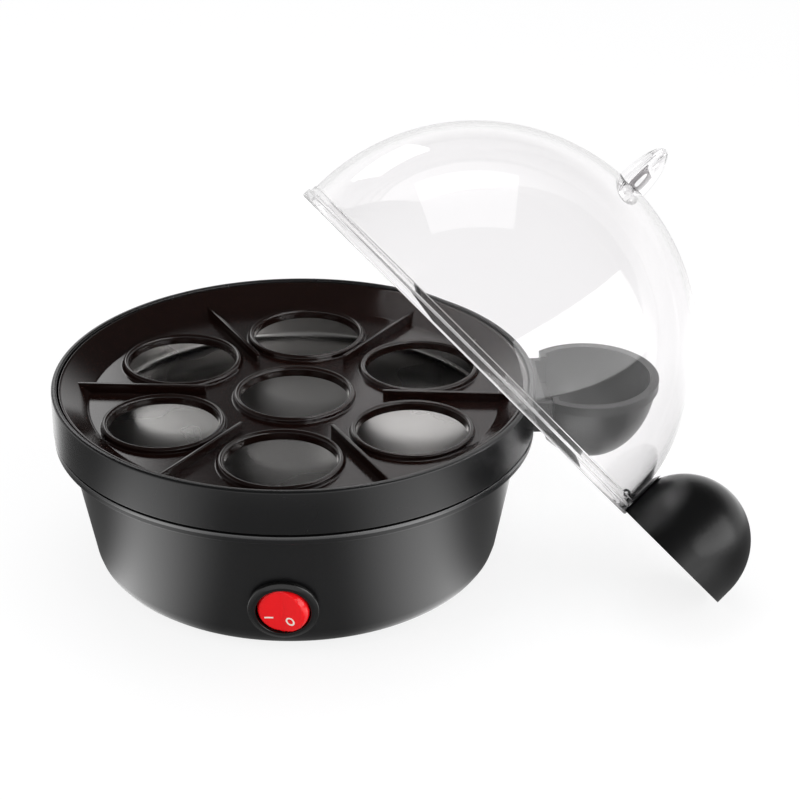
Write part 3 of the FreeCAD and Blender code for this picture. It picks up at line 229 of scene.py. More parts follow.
floor.data.materials.append(material)
print("floor finish nodes", len(tree.nodes))

# %% [markdown]
# Five soft lamps give the form its light and shade. Three of them are hidden from gloss, because their plain squares
# would show sharply in the clear dome.

# %% Lamps
LAMPS = [
    # name, place, width, height, power in watts, whether gloss mirrors it
    ("soft_left", (-0.75, -0.45, 0.55), 0.5, 0.5, 2.6, False),
    ("soft_right", (0.72, -0.36, 0.27), 1.15, 0.5, 4.2, True),
    ("soft_top", (0.0, 0.25, 1.1), 0.7, 0.7, 3.4, False),
    ("soft_front", (-0.1, -1.2, 0.5), 0.4, 0.4, 1.4, False),
    ("soft_back", (-0.40, 1.0, 0.62), 0.35, 0.3, 0.8, True),
]
# All lamps point here.
AIM = Vector((0.02, 0.0, 0.05))
for name, place, width, height, power, mirrored in LAMPS:
    lamp = bpy.data.lights.new(name, "AREA")
    lamp.shape = "RECTANGLE"
    lamp.size = width
    lamp.size_y = height
    lamp.energy = power
    held = bpy.data.objects.new(name, lamp)
    held.location = place
    held.visible_glossy = mirrored
    held.rotation_euler = (AIM - Vector(place)).to_track_quat("-Z", "Y").to_euler()
    bpy.context.scene.collection.objects.link(held)
print("lamps", len(LAMPS))

# %% [markdown]
# ## Finishes
#
# Moulded plastic is never one flat grey. Its skin has a fine grain from the tool, broad patches that shine a little
# more or less where it was handled, and a hint of cloudiness in its colour. One group gives these to every plastic
# here. A second group draws the fine rings that spinning leaves on sheet steel.

# %% Helper for shader groups
FLOAT, VECTOR = "NodeSocketFloat", "NodeSocketVector"
BUMP_DISTANCE = 0.0002


def new_group(name, takes, gives):
    """A shader node group with named sockets: each input is (name, kind, default)."""
    group = bpy.data.node_groups.new(name, "ShaderNodeTree")
    for title, kind, value in takes:
        group.interface.new_socket(name=title, in_out="INPUT", socket_type=kind).default_value = value
    for title, kind in gives:
        group.interface.new_socket(name=title, in_out="OUTPUT", socket_type=kind)
    return group, group.nodes.new("NodeGroupInput"), group.nodes.new("NodeGroupOutput")


# %% The grain of moulded plastic
moulded, given, result = new_group(
    "moulded_grain",
    [("Grain Scale", FLOAT, 900.0), ("Grain Height", FLOAT, 0.08), ("Roughness", FLOAT, 0.4),
     ("Patch Scale", FLOAT, 18.0), ("Patch Spread", FLOAT, 0.05)],
    [("Roughness", FLOAT), ("Normal", VECTOR), ("Patch", FLOAT)],
)
where = node(moulded, "ShaderNodeTexCoord")
grain = fill(node(moulded, "ShaderNodeTexNoise"), Detail=3.0)
patch = fill(node(moulded, "ShaderNodeTexNoise"), Detail=2.0)
raised = fill(node(moulded, "ShaderNodeBump"), Distance=BUMP_DISTANCE)
centred = node(moulded, "ShaderNodeMath", operation="SUBTRACT")
centred.inputs[1].default_value = 0.5
spread = node(moulded, "ShaderNodeMath", operation="MULTIPLY_ADD")
link = moulded.links.new
link(where.outputs["Object"], grain.inputs["Vector"])
link(where.outputs["Object"], patch.inputs["Vector"])
link(given.outputs["Grain Scale"], grain.inputs["Scale"])
link(given.outputs["Patch Scale"], patch.inputs["Scale"])
link(grain.outputs["Fac"], raised.inputs["Height"])
link(given.outputs["Grain Height"], raised.inputs["Strength"])
link(patch.outputs["Fac"], centred.inputs[0])
link(centred.outputs[0], spread.inputs[0])
link(given.outputs["Patch Spread"], spread.inputs[1])
link(given.outputs["Roughness"], spread.inputs[2])
link(spread.outputs[0], result.inputs["Roughness"])
link(raised.outputs["Normal"], result.inputs["Normal"])
link(patch.outputs["Fac"], result.inputs["Patch"])
print("group", moulded.name, "nodes", len(moulded.nodes))

# %% The rings of spun steel
spun, given, result = new_group(
    "spun_rings", [("Ring Scale", FLOAT, 2500.0), ("Ring Height", FLOAT, 0.1)], [("Normal", VECTOR), ("Rings", FLOAT)])
where = node(spun, "ShaderNodeTexCoord")
flat = node(spun, "ShaderNodeVectorMath", operation="MULTIPLY")
flat.inputs[1].default_value = (1.0, 1.0, 0.0)
away = node(spun, "ShaderNodeVectorMath", operation="LENGTH")
rings = fill(node(spun, "ShaderNodeTexNoise", noise_dimensions="1D"), Detail=2.0)
raised = fill(node(spun, "ShaderNodeBump"), Distance=BUMP_DISTANCE)
link = spun.links.new
link(where.outputs["Object"], flat.inputs[0])
link(flat.outputs[0], away.inputs[0])
link(away.outputs["Value"], rings.inputs["W"])
link(given.outputs["Ring Scale"], rings.inputs["Scale"])
link(rings.outputs["Fac"], raised.inputs["Height"])
link(given.outputs["Ring Height"], raised.inputs["Strength"])
link(raised.outputs["Normal"], result.inputs["Normal"])
link(rings.outputs["Fac"], result.inputs["Rings"])
print("group", spun.name, "nodes", len(spun.nodes))

# %% Opaque plastics
CLOUD = 0.22
COAT_ROUGHNESS = 0.06
# The flange's fine edge has a lighter colour and mirrors more than plain plastic does: a painted highlight that makes
# the bright line under the collar.
EDGE_IOR = 2.1


def clouded(tree, shader, colour, mask):
    """A colour that a mask makes a little darker and lighter over the surface."""
    mix = node(tree, "ShaderNodeMix", data_type="RGBA")
    mix.inputs["A"].default_value = (*(channel * (1.0 - CLOUD) for channel in colour), 1.0)
    mix.inputs["B"].default_value = (*(channel * (1.0 + CLOUD) for channel in colour), 1.0)
    tree.links.new(mask, mix.inputs["Factor"])
    tree.links.new(mix.outputs["Result"], shader.inputs["Base Color"])


def plastic(name, colour, roughness, grain_scale, grain_height, specular=0.5, patch_spread=0.06, coat=0.0):
    """Opaque moulded plastic."""
    material, tree, out = new_material(name)
    skin = node(tree, "ShaderNodeGroup", node_tree=moulded)
    fill(skin, Grain_Scale=grain_scale, Grain_Height=grain_height, Roughness=roughness, Patch_Spread=patch_spread)
    shader = fill(node(tree, "ShaderNodeBsdfPrincipled"), Specular_IOR_Level=specular, Coat_Weight=coat,
                  Coat_Roughness=COAT_ROUGHNESS)
    clouded(tree, shader, colour, skin.outputs["Patch"])
    tree.links.new(skin.outputs["Roughness"], shader.inputs["Roughness"])
    tree.links.new(skin.outputs["Normal"], shader.inputs["Normal"])
    tree.links.new(shader.outputs[0], out.inputs["Surface"])
    return material


# Each line: name, colour, roughness, grain scale, grain height, then specular and patch spread where they are set.
housing_black = plastic("housing_black", (0.007, 0.007, 0.0074), 0.30, 1500.0, 0.10, 0.5)
rim_black = plastic("rim_black", (0.006, 0.006, 0.0063), 0.27, 1500.0, 0.07, 0.45)
# The flange's outer edge: lighter and more mirroring than the housing, a painted highlight.
painted_highlight_edge = plastic("painted_highlight_edge", (0.02, 0.02, 0.021), 0.2, 1500.0, 0.02, 0.5)
painted_highlight_edge.node_tree.nodes["Principled BSDF"].inputs["IOR"].default_value = EDGE_IOR
handle_black = plastic("handle_black", (0.0035, 0.0035, 0.0037), 0.30, 1500.0, 0.015, 0.40)
# The tray: near-black plastic with a brown tint, which is a painted reflection of eggs.
tray_painted_reflection = plastic("tray_painted_reflection", (0.006, 0.0022, 0.0016), 0.16, 700.0, 0.02, 0.5, 0.05)
switch_black = plastic("switch_black", (0.005, 0.005, 0.005), 0.14, 900.0, 0.01, 0.5)
vent_grey = plastic("vent_grey", (0.17, 0.16, 0.165), 0.3, 900.0, 0.04)
terminal_white = plastic("terminal_white", (0.7, 0.7, 0.66), 0.4, 900.0, 0.05)
ceramic_cream = plastic("ceramic_cream", (0.62, 0.55, 0.42), 0.55, 700.0, 0.1)
seal_rubber = plastic("seal_rubber", (0.012, 0.012, 0.012), 0.6, 600.0, 0.3)
lead_brown = plastic("lead_brown", (0.10, 0.04, 0.02), 0.5, 600.0, 0.05)
lead_blue = plastic("lead_blue", (0.02, 0.05, 0.2), 0.5, 600.0, 0.05)
rocker_red = plastic("rocker_red", (0.92, 0.008, 0.012), 0.13, 700.0, 0.01, 0.2, 0.03, coat=0.4)
mark_cream = plastic("mark_cream", (0.95, 0.89, 0.80), 0.35, 900.0, 0.03)
print("materials so far", len(bpy.data.materials))

# %% [markdown]
# Bare metal is nearly all inside: the pan, the screws, the cast spreader, the ring element and the brass terminals.

# %% Metals
METAL_PATCH = 0.15


def metal(name, colour, roughness, grain_scale, grain_height, ring_height=0.0):
    """Bare metal, with the rings of spinning where it has them."""
    material, tree, out = new_material(name)
    skin = node(tree, "ShaderNodeGroup", node_tree=moulded)
    fill(skin, Grain_Scale=grain_scale, Grain_Height=grain_height, Roughness=roughness, Patch_Spread=METAL_PATCH)
    shader = fill(node(tree, "ShaderNodeBsdfPrincipled"), Metallic=1.0)
    clouded(tree, shader, colour, skin.outputs["Patch"])
    tree.links.new(skin.outputs["Roughness"], shader.inputs["Roughness"])
    normal = skin.outputs["Normal"]
    if ring_height:
        normal = fill(node(tree, "ShaderNodeGroup", node_tree=spun), Ring_Height=ring_height).outputs["Normal"]
    tree.links.new(normal, shader.inputs["Normal"])
    tree.links.new(shader.outputs[0], out.inputs["Surface"])
    return material


# Each line: name, colour, roughness, grain scale, grain height, then the height of the rings.
pan_steel = metal("pan_steel", (0.50, 0.49, 0.48), 0.28, 400.0, 0.04, 0.1)
screw_steel = metal("screw_steel", (0.45, 0.45, 0.45), 0.3, 500.0, 0.05)
cast_aluminium = metal("cast_aluminium", (0.55, 0.55, 0.55), 0.5, 350.0, 0.2)
element_steel = metal("element_steel", (0.25, 0.23, 0.21), 0.5, 350.0, 0.1)
terminal_brass = metal("terminal_brass", (0.6, 0.44, 0.18), 0.3, 400.0, 0.05)
print("materials so far", len(bpy.data.materials))

# %% [markdown]
# The lid is injected clear plastic. Light goes through it for shadows too, or the tray under it would go black. Its
# moulded edges are slightly frosted, so they have a finish of their own: they gather light and show as pale lines.

# %% Clear plastics
SHADOW_TINT = (0.95, 0.95, 0.95, 1.0)


def clear(name, tint, roughness, index, patch_spread, passing):
    """Clear plastic that lets light through for shadows."""
    material, tree, out = new_material(name)
    skin = node(tree, "ShaderNodeGroup", node_tree=moulded)
    fill(skin, Grain_Scale=60.0, Grain_Height=0.004, Roughness=roughness, Patch_Spread=patch_spread)
    shader = fill(node(tree, "ShaderNodeBsdfPrincipled"), Base_Color=(*tint, 1.0), IOR=index,
                  Transmission_Weight=passing)
    tree.links.new(skin.outputs["Roughness"], shader.inputs["Roughness"])
    rays = node(tree, "ShaderNodeLightPath")
    open_way = fill(node(tree, "ShaderNodeBsdfTransparent"), Color=SHADOW_TINT)
    pick = node(tree, "ShaderNodeMixShader")
    tree.links.new(rays.outputs["Is Shadow Ray"], pick.inputs["Fac"])
    tree.links.new(shader.outputs[0], pick.inputs[1])
    tree.links.new(open_way.outputs[0], pick.inputs[2])
    tree.links.new(pick.outputs[0], out.inputs["Surface"])
    return material


# Each line: name, tint, roughness, index of refraction, patch spread, share of light that passes.
lid_clear = clear("lid_clear", (0.985, 0.978, 0.982), 0.0, 1.45, 0.006, 1.0)
lid_edge = clear("lid_edge", (0.95, 0.94, 0.945), 0.22, 1.45, 0.05, 0.7)
knob_clear = clear("knob_clear", (0.97, 0.965, 0.97), 0.01, 1.45, 0.02, 1.0)

# %% [markdown]
# Every CAD node takes its finish here, also those that a modelled piece replaces later. What the table leaves out
# are the steel screws, clips and brackets.

# %% Finishes of the CAD nodes
FINISHES = {
    "lower_housing": housing_black, "rim_collar": rim_black, "base_handle": handle_black, "lid_handle": handle_black,
    "bottom_cover": housing_black, "egg_tray": tray_painted_reflection, "water_pan": pan_steel, "pan_seal": seal_rubber,
    "rubber_feet": seal_rubber, "cord_gland": seal_rubber, "switch_housing": switch_black, "rocker": rocker_red,
    "cord_clamp": switch_black, "terminal_block": terminal_white, "thermostat": ceramic_cream,
    "heat_spreader": cast_aluminium, "heating_element": element_steel, "lid_vent": vent_grey,
    "lid_dome": lid_clear, "lid_knob": knob_clear, "lead_supply": lead_brown, "lead_switched": lead_brown,
    "lead_fused": lead_brown, "lead_element": lead_brown, "lead_return": lead_blue,
    "thermal_fuse": terminal_brass, "switch_terminals": terminal_brass, "contact_blade": terminal_brass,
    "terminal_screws": terminal_brass,
}
for name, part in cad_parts.items():
    part.data.materials.clear()
    part.data.materials.append(FINISHES.get(name, screw_steel))
print("finished nodes", len(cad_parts))

# %% [markdown]
# ## Helpers for modelled pieces
#
# Most of the boiler is turned: the collar, the housing, the lid and the seats are all outlines spun round an axis.
# So the first helpers draw an outline from a few corners, round the corners with a vertex bevel, and spin it. The
# next ones cut holes with closed cutters. Then `keep` gives a finished mesh its name, finish, body and smooth
# shading. Parts of the CAD that only need softer edges are copied and bevelled by the last one.

# %% Round and place
# Vertices closer than this, in metres, become one.
MERGE = 1e-6


def rounded(shape, geom, width, segments, affect="EDGES", clamped=False):
    """Round edges or corners of a shape, by a width in millimetres."""
    bmesh.ops.bevel(shape, geom=geom, offset=width * MM, offset_type="OFFSET", segments=segments, profile=0.5,
                    affect=affect, material=-1, clamp_overlap=clamped)


def shift(at):
    """A move by millimetres."""
    return Matrix.Translation(tuple(value * MM for value in at))


# %% Draw and spin outlines
TURN_STEPS = 180
ROUND_SEGMENTS = 5


def outline(shape, corners, closed=True, centre=(0.0, 0.0)):
    """A wire through corners in the XZ plane, in millimetres.

    Each corner is (radius, height) or (radius, height, rounding).
    """
    made = [shape.verts.new(((centre[0] + corner[0]) * MM, centre[1] * MM, corner[1] * MM)) for corner in corners]
    pairs = list(zip(made, made[1:]))
    if closed:
        pairs.append((made[-1], made[0]))
    for start, end in pairs:
        shape.edges.new((start, end))
    for vert, corner in zip(made, corners):
        if len(corner) > 2:
            rounded(shape, [vert], corner[2], ROUND_SEGMENTS, "VERTICES")


def spin(shape, steps=TURN_STEPS, centre=(0.0, 0.0)):
    """Spin all that a bmesh holds a full turn round a vertical axis, in millimetres, and merge the ends."""
    bmesh.ops.spin(shape, geom=shape.verts[:] + shape.edges[:], axis=(0, 0, 1), angle=math.tau, steps=steps,
                   cent=(centre[0] * MM, centre[1] * MM, 0.0), use_merge=True)
    bmesh.ops.remove_doubles(shape, verts=shape.verts, dist=MERGE)


def turned(corners, steps=TURN_STEPS):
    """A turned body from a closed outline."""
    shape = bmesh.new()
    outline(shape, corners)
    spin(shape, steps)
    bmesh.ops.recalc_face_normals(shape, faces=shape.faces)
    return shape


def gather(shape, addition):
    """Add one bmesh to another."""
    held = bpy.data.meshes.new("addition")
    addition.to_mesh(held)
    addition.free()
    shape.from_mesh(held)
    bpy.data.meshes.remove(held)


# %% Cut holes
def rod(radius, low, high, place, steps=64):
    """A closed cylinder between two heights, put in a place: a cutter."""
    shape = bmesh.new()
    bmesh.ops.create_cone(shape, cap_ends=True, segments=steps, radius1=radius * MM, radius2=radius * MM,
                          depth=(high - low) * MM, matrix=place @ shift((0, 0, (high + low) / 2)))
    return shape


def held_mesh(shape, name):
    """A linked object with a bmesh's faces, for work only."""
    data = bpy.data.meshes.new(name)
    shape.to_mesh(data)
    shape.free()
    held = bpy.data.objects.new(name, data)
    bpy.context.scene.collection.objects.link(held)
    return held


def drilled(shape, cutters):
    """What is left of a closed shape when closed cutters are taken out of it."""
    whole = held_mesh(shape, "whole")
    tools = [held_mesh(cutter, "cutter") for cutter in cutters]
    for tool in tools:
        cut = whole.modifiers.new("cut", "BOOLEAN")
        cut.operation = "DIFFERENCE"
        cut.solver = "EXACT"
        cut.object = tool
    bpy.context.view_layer.update()
    left = bmesh.new()
    left.from_object(whole, bpy.context.evaluated_depsgraph_get())
    for held in [whole] + tools:
        data = held.data
        bpy.data.objects.remove(held)
        bpy.data.meshes.remove(data)
    return left


# %% Finish a piece
SMOOTH_ANGLE = math.radians(38)


def keep(name, shape, finish, body, replaces=(), place=None, outward=True, weighted=False):
    """Turn a bmesh into a piece: its finish, the body it rides on and the CAD nodes that it replaces."""
    if outward:
        bmesh.ops.recalc_face_normals(shape, faces=shape.faces)
    if place is not None:
        bmesh.ops.transform(shape, matrix=place, verts=shape.verts)
    data = bpy.data.meshes.new(name)
    shape.to_mesh(data)
    shape.free()
    data.shade_smooth()
    data.set_sharp_from_angle(angle=SMOOTH_ANGLE)
    for layer in finish if isinstance(finish, tuple) else (finish,):
        data.materials.append(layer)
    piece = bpy.data.objects.new(name, data)
    bpy.context.scene.collection.objects.link(piece)
    if weighted:
        even = piece.modifiers.new("even_shading", "WEIGHTED_NORMAL")
        even.keep_sharp = True
    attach(piece, body)
    if replaces:
        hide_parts(*replaces)
    print(name, "faces", len(data.polygons))
    return piece


# %% Soften the edges of a CAD part
SHARP_ANGLE = math.radians(30)
FLAT_ANGLE = math.radians(0.5)
SOFT_SEGMENTS = 3


def softened(node_name, width):
    """A copy of a CAD node, welded, its flat faces joined and its sharp edges rounded."""
    shape = bmesh.new()
    shape.from_mesh(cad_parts[node_name].data)
    bmesh.ops.remove_doubles(shape, verts=shape.verts, dist=MERGE)
    bmesh.ops.dissolve_limit(shape, angle_limit=FLAT_ANGLE, verts=shape.verts, edges=shape.edges,
                             use_dissolve_boundaries=False)
    sharp = [edge for edge in shape.edges
             if len(edge.link_faces) == 2 and edge.calc_face_angle(0.0) > SHARP_ANGLE]
    rounded(shape, sharp, width, SOFT_SEGMENTS, clamped=True)
    return shape


# %% [markdown]
# ## The base
#
# Housing and collar are injection moulded. The housing is a bowl with a soft bottom corner. At its top a thin flange
# stands out to just under the collar: its two rounded edges catch the light as a bright line, which a lighter, more
# mirroring finish on its outer edge strengthens as a painted highlight, and the narrow gap over it stays black. The
# collar is a plain hoop with a small rounding.

# %% Where the switch and the cord inlet sit
SWITCH_AT, SWITCH_TURN = (2.3872, -73.9085, 20.2), math.radians(1.85)
INLET_AT, INLET_TURN = (0.0, 73.0698, 15.6), math.pi
WALL_TILT = math.radians(100.0)


def on_wall(at, turn):
    """A place on the sloping wall of the housing, its Z out of the wall."""
    return shift(at) @ Matrix.Rotation(turn, 4, "Z") @ Matrix.Rotation(WALL_TILT, 4, "X")


switch_place = on_wall(SWITCH_AT, SWITCH_TURN)
inlet_place = on_wall(INLET_AT, INLET_TURN)
print("switch at", SWITCH_AT, "inlet at", INLET_AT)

# %% Housing
SWITCH_BORE, INLET_BORE, CUT_REACH = 10.3, 5.1, 12.0
# The flange's outer edge, which gets the painted highlight of the bright line: its heights and its least radius.
EDGE_LOW, EDGE_HIGH, EDGE_RADIUS = 51.8, 52.9, 83.3

housing = turned([
    (58.0, 1.6), (69.8, 1.6, 8.0), (79.03, 50.0, 0.35), (83.7, 50.0, 0.6), (83.7, 51.9, 0.15), (83.58, 52.9, 0.15),
    (77.53, 52.9, 0.2), (77.53, 56.0), (75.33, 56.0), (75.33, 50.0, 1.0), (67.6, 6.1), (50.7, 6.1), (50.7, 3.9),
    (58.0, 3.9),
])
housing = drilled(housing, [rod(SWITCH_BORE, -CUT_REACH, CUT_REACH, switch_place),
                            rod(INLET_BORE, -CUT_REACH, CUT_REACH, inlet_place)])
for face in housing.faces:
    centre = face.calc_center_median() / MM
    face.material_index = int(EDGE_LOW < centre.z < EDGE_HIGH and math.hypot(centre.x, centre.y) > EDGE_RADIUS)
keep("housing", housing, (housing_black, painted_highlight_edge), "base", ["lower_housing"])

# %% Pads that carry the switch and the cord inlet
PAD_ROOT, PAD_ROUND, PAD_STEPS = -6.0, 0.3, 72
PADS = (
    # name, place, bore, outer radius
    ("switch_pad", switch_place, SWITCH_BORE, 11.2),
    ("inlet_pad", inlet_place, INLET_BORE, 6.6),
)
for name, place, bore, outside in PADS:
    pad = turned([(bore, PAD_ROOT), (outside, PAD_ROOT), (outside, 0.0, PAD_ROUND), (bore, 0.0)], PAD_STEPS)
    keep(name, pad, housing_black, "base", place=place)

# %% Collar
SCREW_TURN, SCREW_SPREAD, SCREW_HEIGHT = math.radians(7.5), 8.0, 61.7
# Two ways for screws, each for a head and for a shank: their radii, where both start and where each ends.
HEAD_RADIUS, SHANK_RADIUS = 3.0, 1.6
WAY_START, HEAD_END, SHANK_END = 79.0, 83.3, 86.0
WAY_STEPS = 32

collar = turned([
    (82.0, 53.7), (84.0, 53.7, 0.6), (84.0, 69.5, 0.8), (82.0, 69.5, 0.6), (82.0, 58.0, 0.3), (74.2, 58.0),
    (74.2, 56.0), (82.0, 56.0),
])
ways = []
for side in (-SCREW_SPREAD, SCREW_SPREAD):
    way = (Matrix.Rotation(SCREW_TURN, 4, "Z") @ shift((0.0, side, SCREW_HEIGHT))
           @ Matrix.Rotation(math.pi / 2, 4, "Y"))
    ways += [rod(HEAD_RADIUS, WAY_START, HEAD_END, way, WAY_STEPS),
             rod(SHANK_RADIUS, WAY_START, SHANK_END, way, WAY_STEPS)]
keep("collar", drilled(collar, ways), rim_black, "base", ["rim_collar"])

# %% [markdown]
# ## The handle of the base
#
# A half ball with a thin band round its mouth, on a short neck. Its CAD form is right, so a copy of it is welded and
# its sharp edges are rounded: that is what makes moulded edges catch light. The bottom cover and the rubber gland of
# the cord inlet are made in the same way.

# %% Handle, cover and gland
COPIES = (
    # name, CAD node, rounding, finish, slot
    ("handle_on_base", "base_handle", 0.45, handle_black, "rim_plastic"),
    ("cover", "bottom_cover", 0.3, housing_black, "housing_plastic"),
    ("gland", "cord_gland", 0.3, seal_rubber, "seal_rubber"),
)
for name, node_name, width, finish, slot in COPIES:
    keep(name, softened(node_name, width), finish, "base", [node_name], outward=False, weighted=True)

# %% [markdown]
# ## The switch
#
# A snap-in rocker switch: a round glossy body with a bevelled lip, and a red rocker in it, pressed in on its left.
# The rocker is a flattened ball cut by two sloping planes. One half is cut with the bisect operator and mirrored to
# the other side, and the ridge and rims are bevelled. Two pins and a nose, inside the body, belong to the same piece.

# %% Switch body
BODY_STEPS = 120
switch_body = turned([
    (9.2, -13.0), (9.2, 2.0, 0.35), (10.2, 2.0, 0.3), (11.9, 1.1, 0.3), (12.0, 0.0, 0.2), (10.2, 0.0),
    (10.2, -14.0, 0.4), (0.0, -14.0), (0.0, -13.0),
], BODY_STEPS)
keep("switch_body", switch_body, switch_black, "base", ["switch_housing"], place=switch_place)

# %% Where the rocker lies, and how it is cut
ROCKER_RADIUS, ROCKER_SKIRT, ROCKER_FLATNESS = 8.9, -3.6, 0.72
RIDGE, RIDGE_ROUND, RIM_ROUND, ROCKER_SEGMENTS = 1.61, 1.4, 0.6, 6
SLOPE = math.radians(12.0)
PIVOT = -0.2
# Folds sharper than these are the ridge and the rims. The rims lie above this share of the ridge's height.
RIDGE_FOLD, RIM_FOLD, RIM_SHARE = math.radians(15), math.radians(35), 0.8
rocker_place = switch_place @ shift((0.0, 0.0, PIVOT)) @ Matrix.Rotation(-SLOPE, 4, "Y")


def slice_off(shape, point, normal, fill_cut=True):
    """Cut off what lies on the far side of a plane, and close the cut."""
    bmesh.ops.bisect_plane(shape, geom=shape.verts[:] + shape.edges[:] + shape.faces[:],
                           plane_co=tuple(value * MM for value in point), plane_no=normal, clear_outer=True)
    if fill_cut:
        bmesh.ops.holes_fill(shape, edges=[edge for edge in shape.edges if len(edge.link_faces) == 1])


# %% Rocker cap
rocker = bmesh.new()
bmesh.ops.create_uvsphere(rocker, u_segments=96, v_segments=64, radius=ROCKER_RADIUS * MM)
bmesh.ops.scale(rocker, vec=(1.0, 1.0, ROCKER_FLATNESS), verts=rocker.verts)
slice_off(rocker, (0, 0, ROCKER_SKIRT), (0, 0, -1))
slice_off(rocker, (0, 0, RIDGE), (-math.sin(SLOPE), 0, math.cos(SLOPE)))
slice_off(rocker, (0, 0, 0), (-1, 0, 0), False)
bmesh.ops.mirror(rocker, geom=rocker.verts[:] + rocker.edges[:] + rocker.faces[:], axis="X", merge_dist=MERGE)
bmesh.ops.remove_doubles(rocker, verts=rocker.verts, dist=MERGE)
bmesh.ops.recalc_face_normals(rocker, faces=rocker.faces)
ridge = [edge for edge in rocker.edges if edge.calc_face_angle(0.0) > RIDGE_FOLD
         and all(abs(vert.co.x) < MERGE and vert.co.z > 0 for vert in edge.verts)]
rounded(rocker, ridge, RIDGE_ROUND, ROCKER_SEGMENTS)
rims = [edge for edge in rocker.edges if edge.calc_face_angle(0.0) > RIM_FOLD
        and min(vert.co.z for vert in edge.verts) > RIDGE * RIM_SHARE * MM]
rounded(rocker, rims, RIM_ROUND, ROCKER_SEGMENTS)
print("rocker ridge edges", len(ridge), "rim edges", len(rims))

# %% Pins and nose under the rocker
PIN_RADIUS, PIN_REACH, PIN_STEPS = 1.1, 9.5, 32
NOSE_SIZE, NOSE_ROUND = (3.0, 8.6, 10.0), 0.3
SMALL_SEGMENTS = 2


def block(size, drop=0.0):
    """A box of a size in millimetres about the origin, dropped along Z."""
    shape = bmesh.new()
    bmesh.ops.create_cube(shape, size=MM)
    bmesh.ops.scale(shape, vec=size, verts=shape.verts)
    bmesh.ops.translate(shape, vec=(0.0, 0.0, -drop * MM), verts=shape.verts)
    return shape


pins = rod(PIN_RADIUS, -PIN_REACH, PIN_REACH, Matrix.Rotation(math.pi / 2, 4, "X"), PIN_STEPS)
nose = block(NOSE_SIZE, NOSE_SIZE[2] / 2)
rounded(nose, nose.edges[:], NOSE_ROUND, SMALL_SEGMENTS)
for addition in (pins, nose):
    gather(rocker, addition)
keep("rocker_cap", rocker, rocker_red, "rocker", ["rocker"], place=rocker_place, weighted=True)

# %% Marks on the rocker
# Each mark's place: the side of the ridge, then how far it lies along the slope and across it.
BAR_AT, RING_AT = (-1, 4.5, -2.7), (1, 2.9, -3.4)
BAR_SIZE, BAR_ROUND = (3.0, 0.6, 0.3), 0.08
RING_INNER, RING_OUTER, RING_SUNK, RING_RISE, RING_ROUND = 1.05, 1.65, -0.1, 0.15, 0.07
RING_STEPS = 48


def on_face(side, along, across):
    """A place on one sloping face of the rocker, its Z out of the face."""
    return (rocker_place @ shift((side * along * math.cos(SLOPE), across, RIDGE + along * math.sin(SLOPE)))
            @ Matrix.Rotation(-side * SLOPE, 4, "Y"))


bar = block(BAR_SIZE)
rounded(bar, bar.edges[:], BAR_ROUND, SMALL_SEGMENTS)
keep("mark_bar", bar, mark_cream, "rocker", place=on_face(*BAR_AT))
ring = turned([(RING_INNER, RING_SUNK), (RING_OUTER, RING_SUNK), (RING_OUTER, RING_RISE, RING_ROUND),
               (RING_INNER, RING_RISE, RING_ROUND)], RING_STEPS)
keep("mark_ring", ring, mark_cream, "rocker", place=on_face(*RING_AT))

# %% [markdown]
# ## The tray
#
# The tray is one pressing: a flat floor, seven raised round beads, a sloping border and six ribs. Each bead is an
# open outline spun about its own seat. The flat floor between them is filled in by the triangle fill, which takes
# the loops that the spins leave open. A solidify modifier gives the pressing its wall.

# %% Seats
SEAT_PITCH, SEAT_TURNS = 49.0, range(-90, 270, 60)
SEATS = [(0.0, 0.0)] + [(SEAT_PITCH * math.cos(math.radians(turn)), SEAT_PITCH * math.sin(math.radians(turn)))
                        for turn in SEAT_TURNS]
SEAT_STEPS = 72
FLOOR = 61.6
BEAD = [(22.1, FLOOR), (21.3, FLOOR, 0.5), (21.2, 63.6, 1.0), (19.1, 63.6, 1.0), (18.9, 60.2, 0.2), (19.6, 60.1)]

tray = bmesh.new()
for seat in SEATS:
    ring = bmesh.new()
    outline(ring, BEAD, closed=False, centre=seat)
    spin(ring, SEAT_STEPS, seat)
    gather(tray, ring)
print("seats", len(SEATS), "faces", len(tray.faces))

# %% Border
BORDER = [(70.9, FLOOR), (71.6, FLOOR, 0.4), (80.6, 68.7, 0.3), (81.5, 68.9, 0.4), (81.5, 60.2, 0.3), (80.4, 60.2)]

border = bmesh.new()
outline(border, BORDER, closed=False)
spin(border)
gather(tray, border)
print("with the border", len(tray.faces))

# %% Flat floor and wall
TRAY_WALL = 1.2

open_edges = [edge for edge in tray.edges if len(edge.link_faces) == 1
              and all(abs(vert.co.z - FLOOR * MM) < MERGE for vert in edge.verts)]
bmesh.ops.triangle_fill(tray, use_beauty=True, use_dissolve=False, edges=open_edges, normal=(0, 0, 1))
bmesh.ops.remove_doubles(tray, verts=tray.verts, dist=MERGE)
bmesh.ops.recalc_face_normals(tray, faces=tray.faces)
tray_piece = keep("tray", tray, tray_painted_reflection, "tray", ["egg_tray"], outward=False)
wall = tray_piece.modifiers.new("wall", "SOLIDIFY")
wall.thickness = TRAY_WALL * MM
wall.offset = -1.0

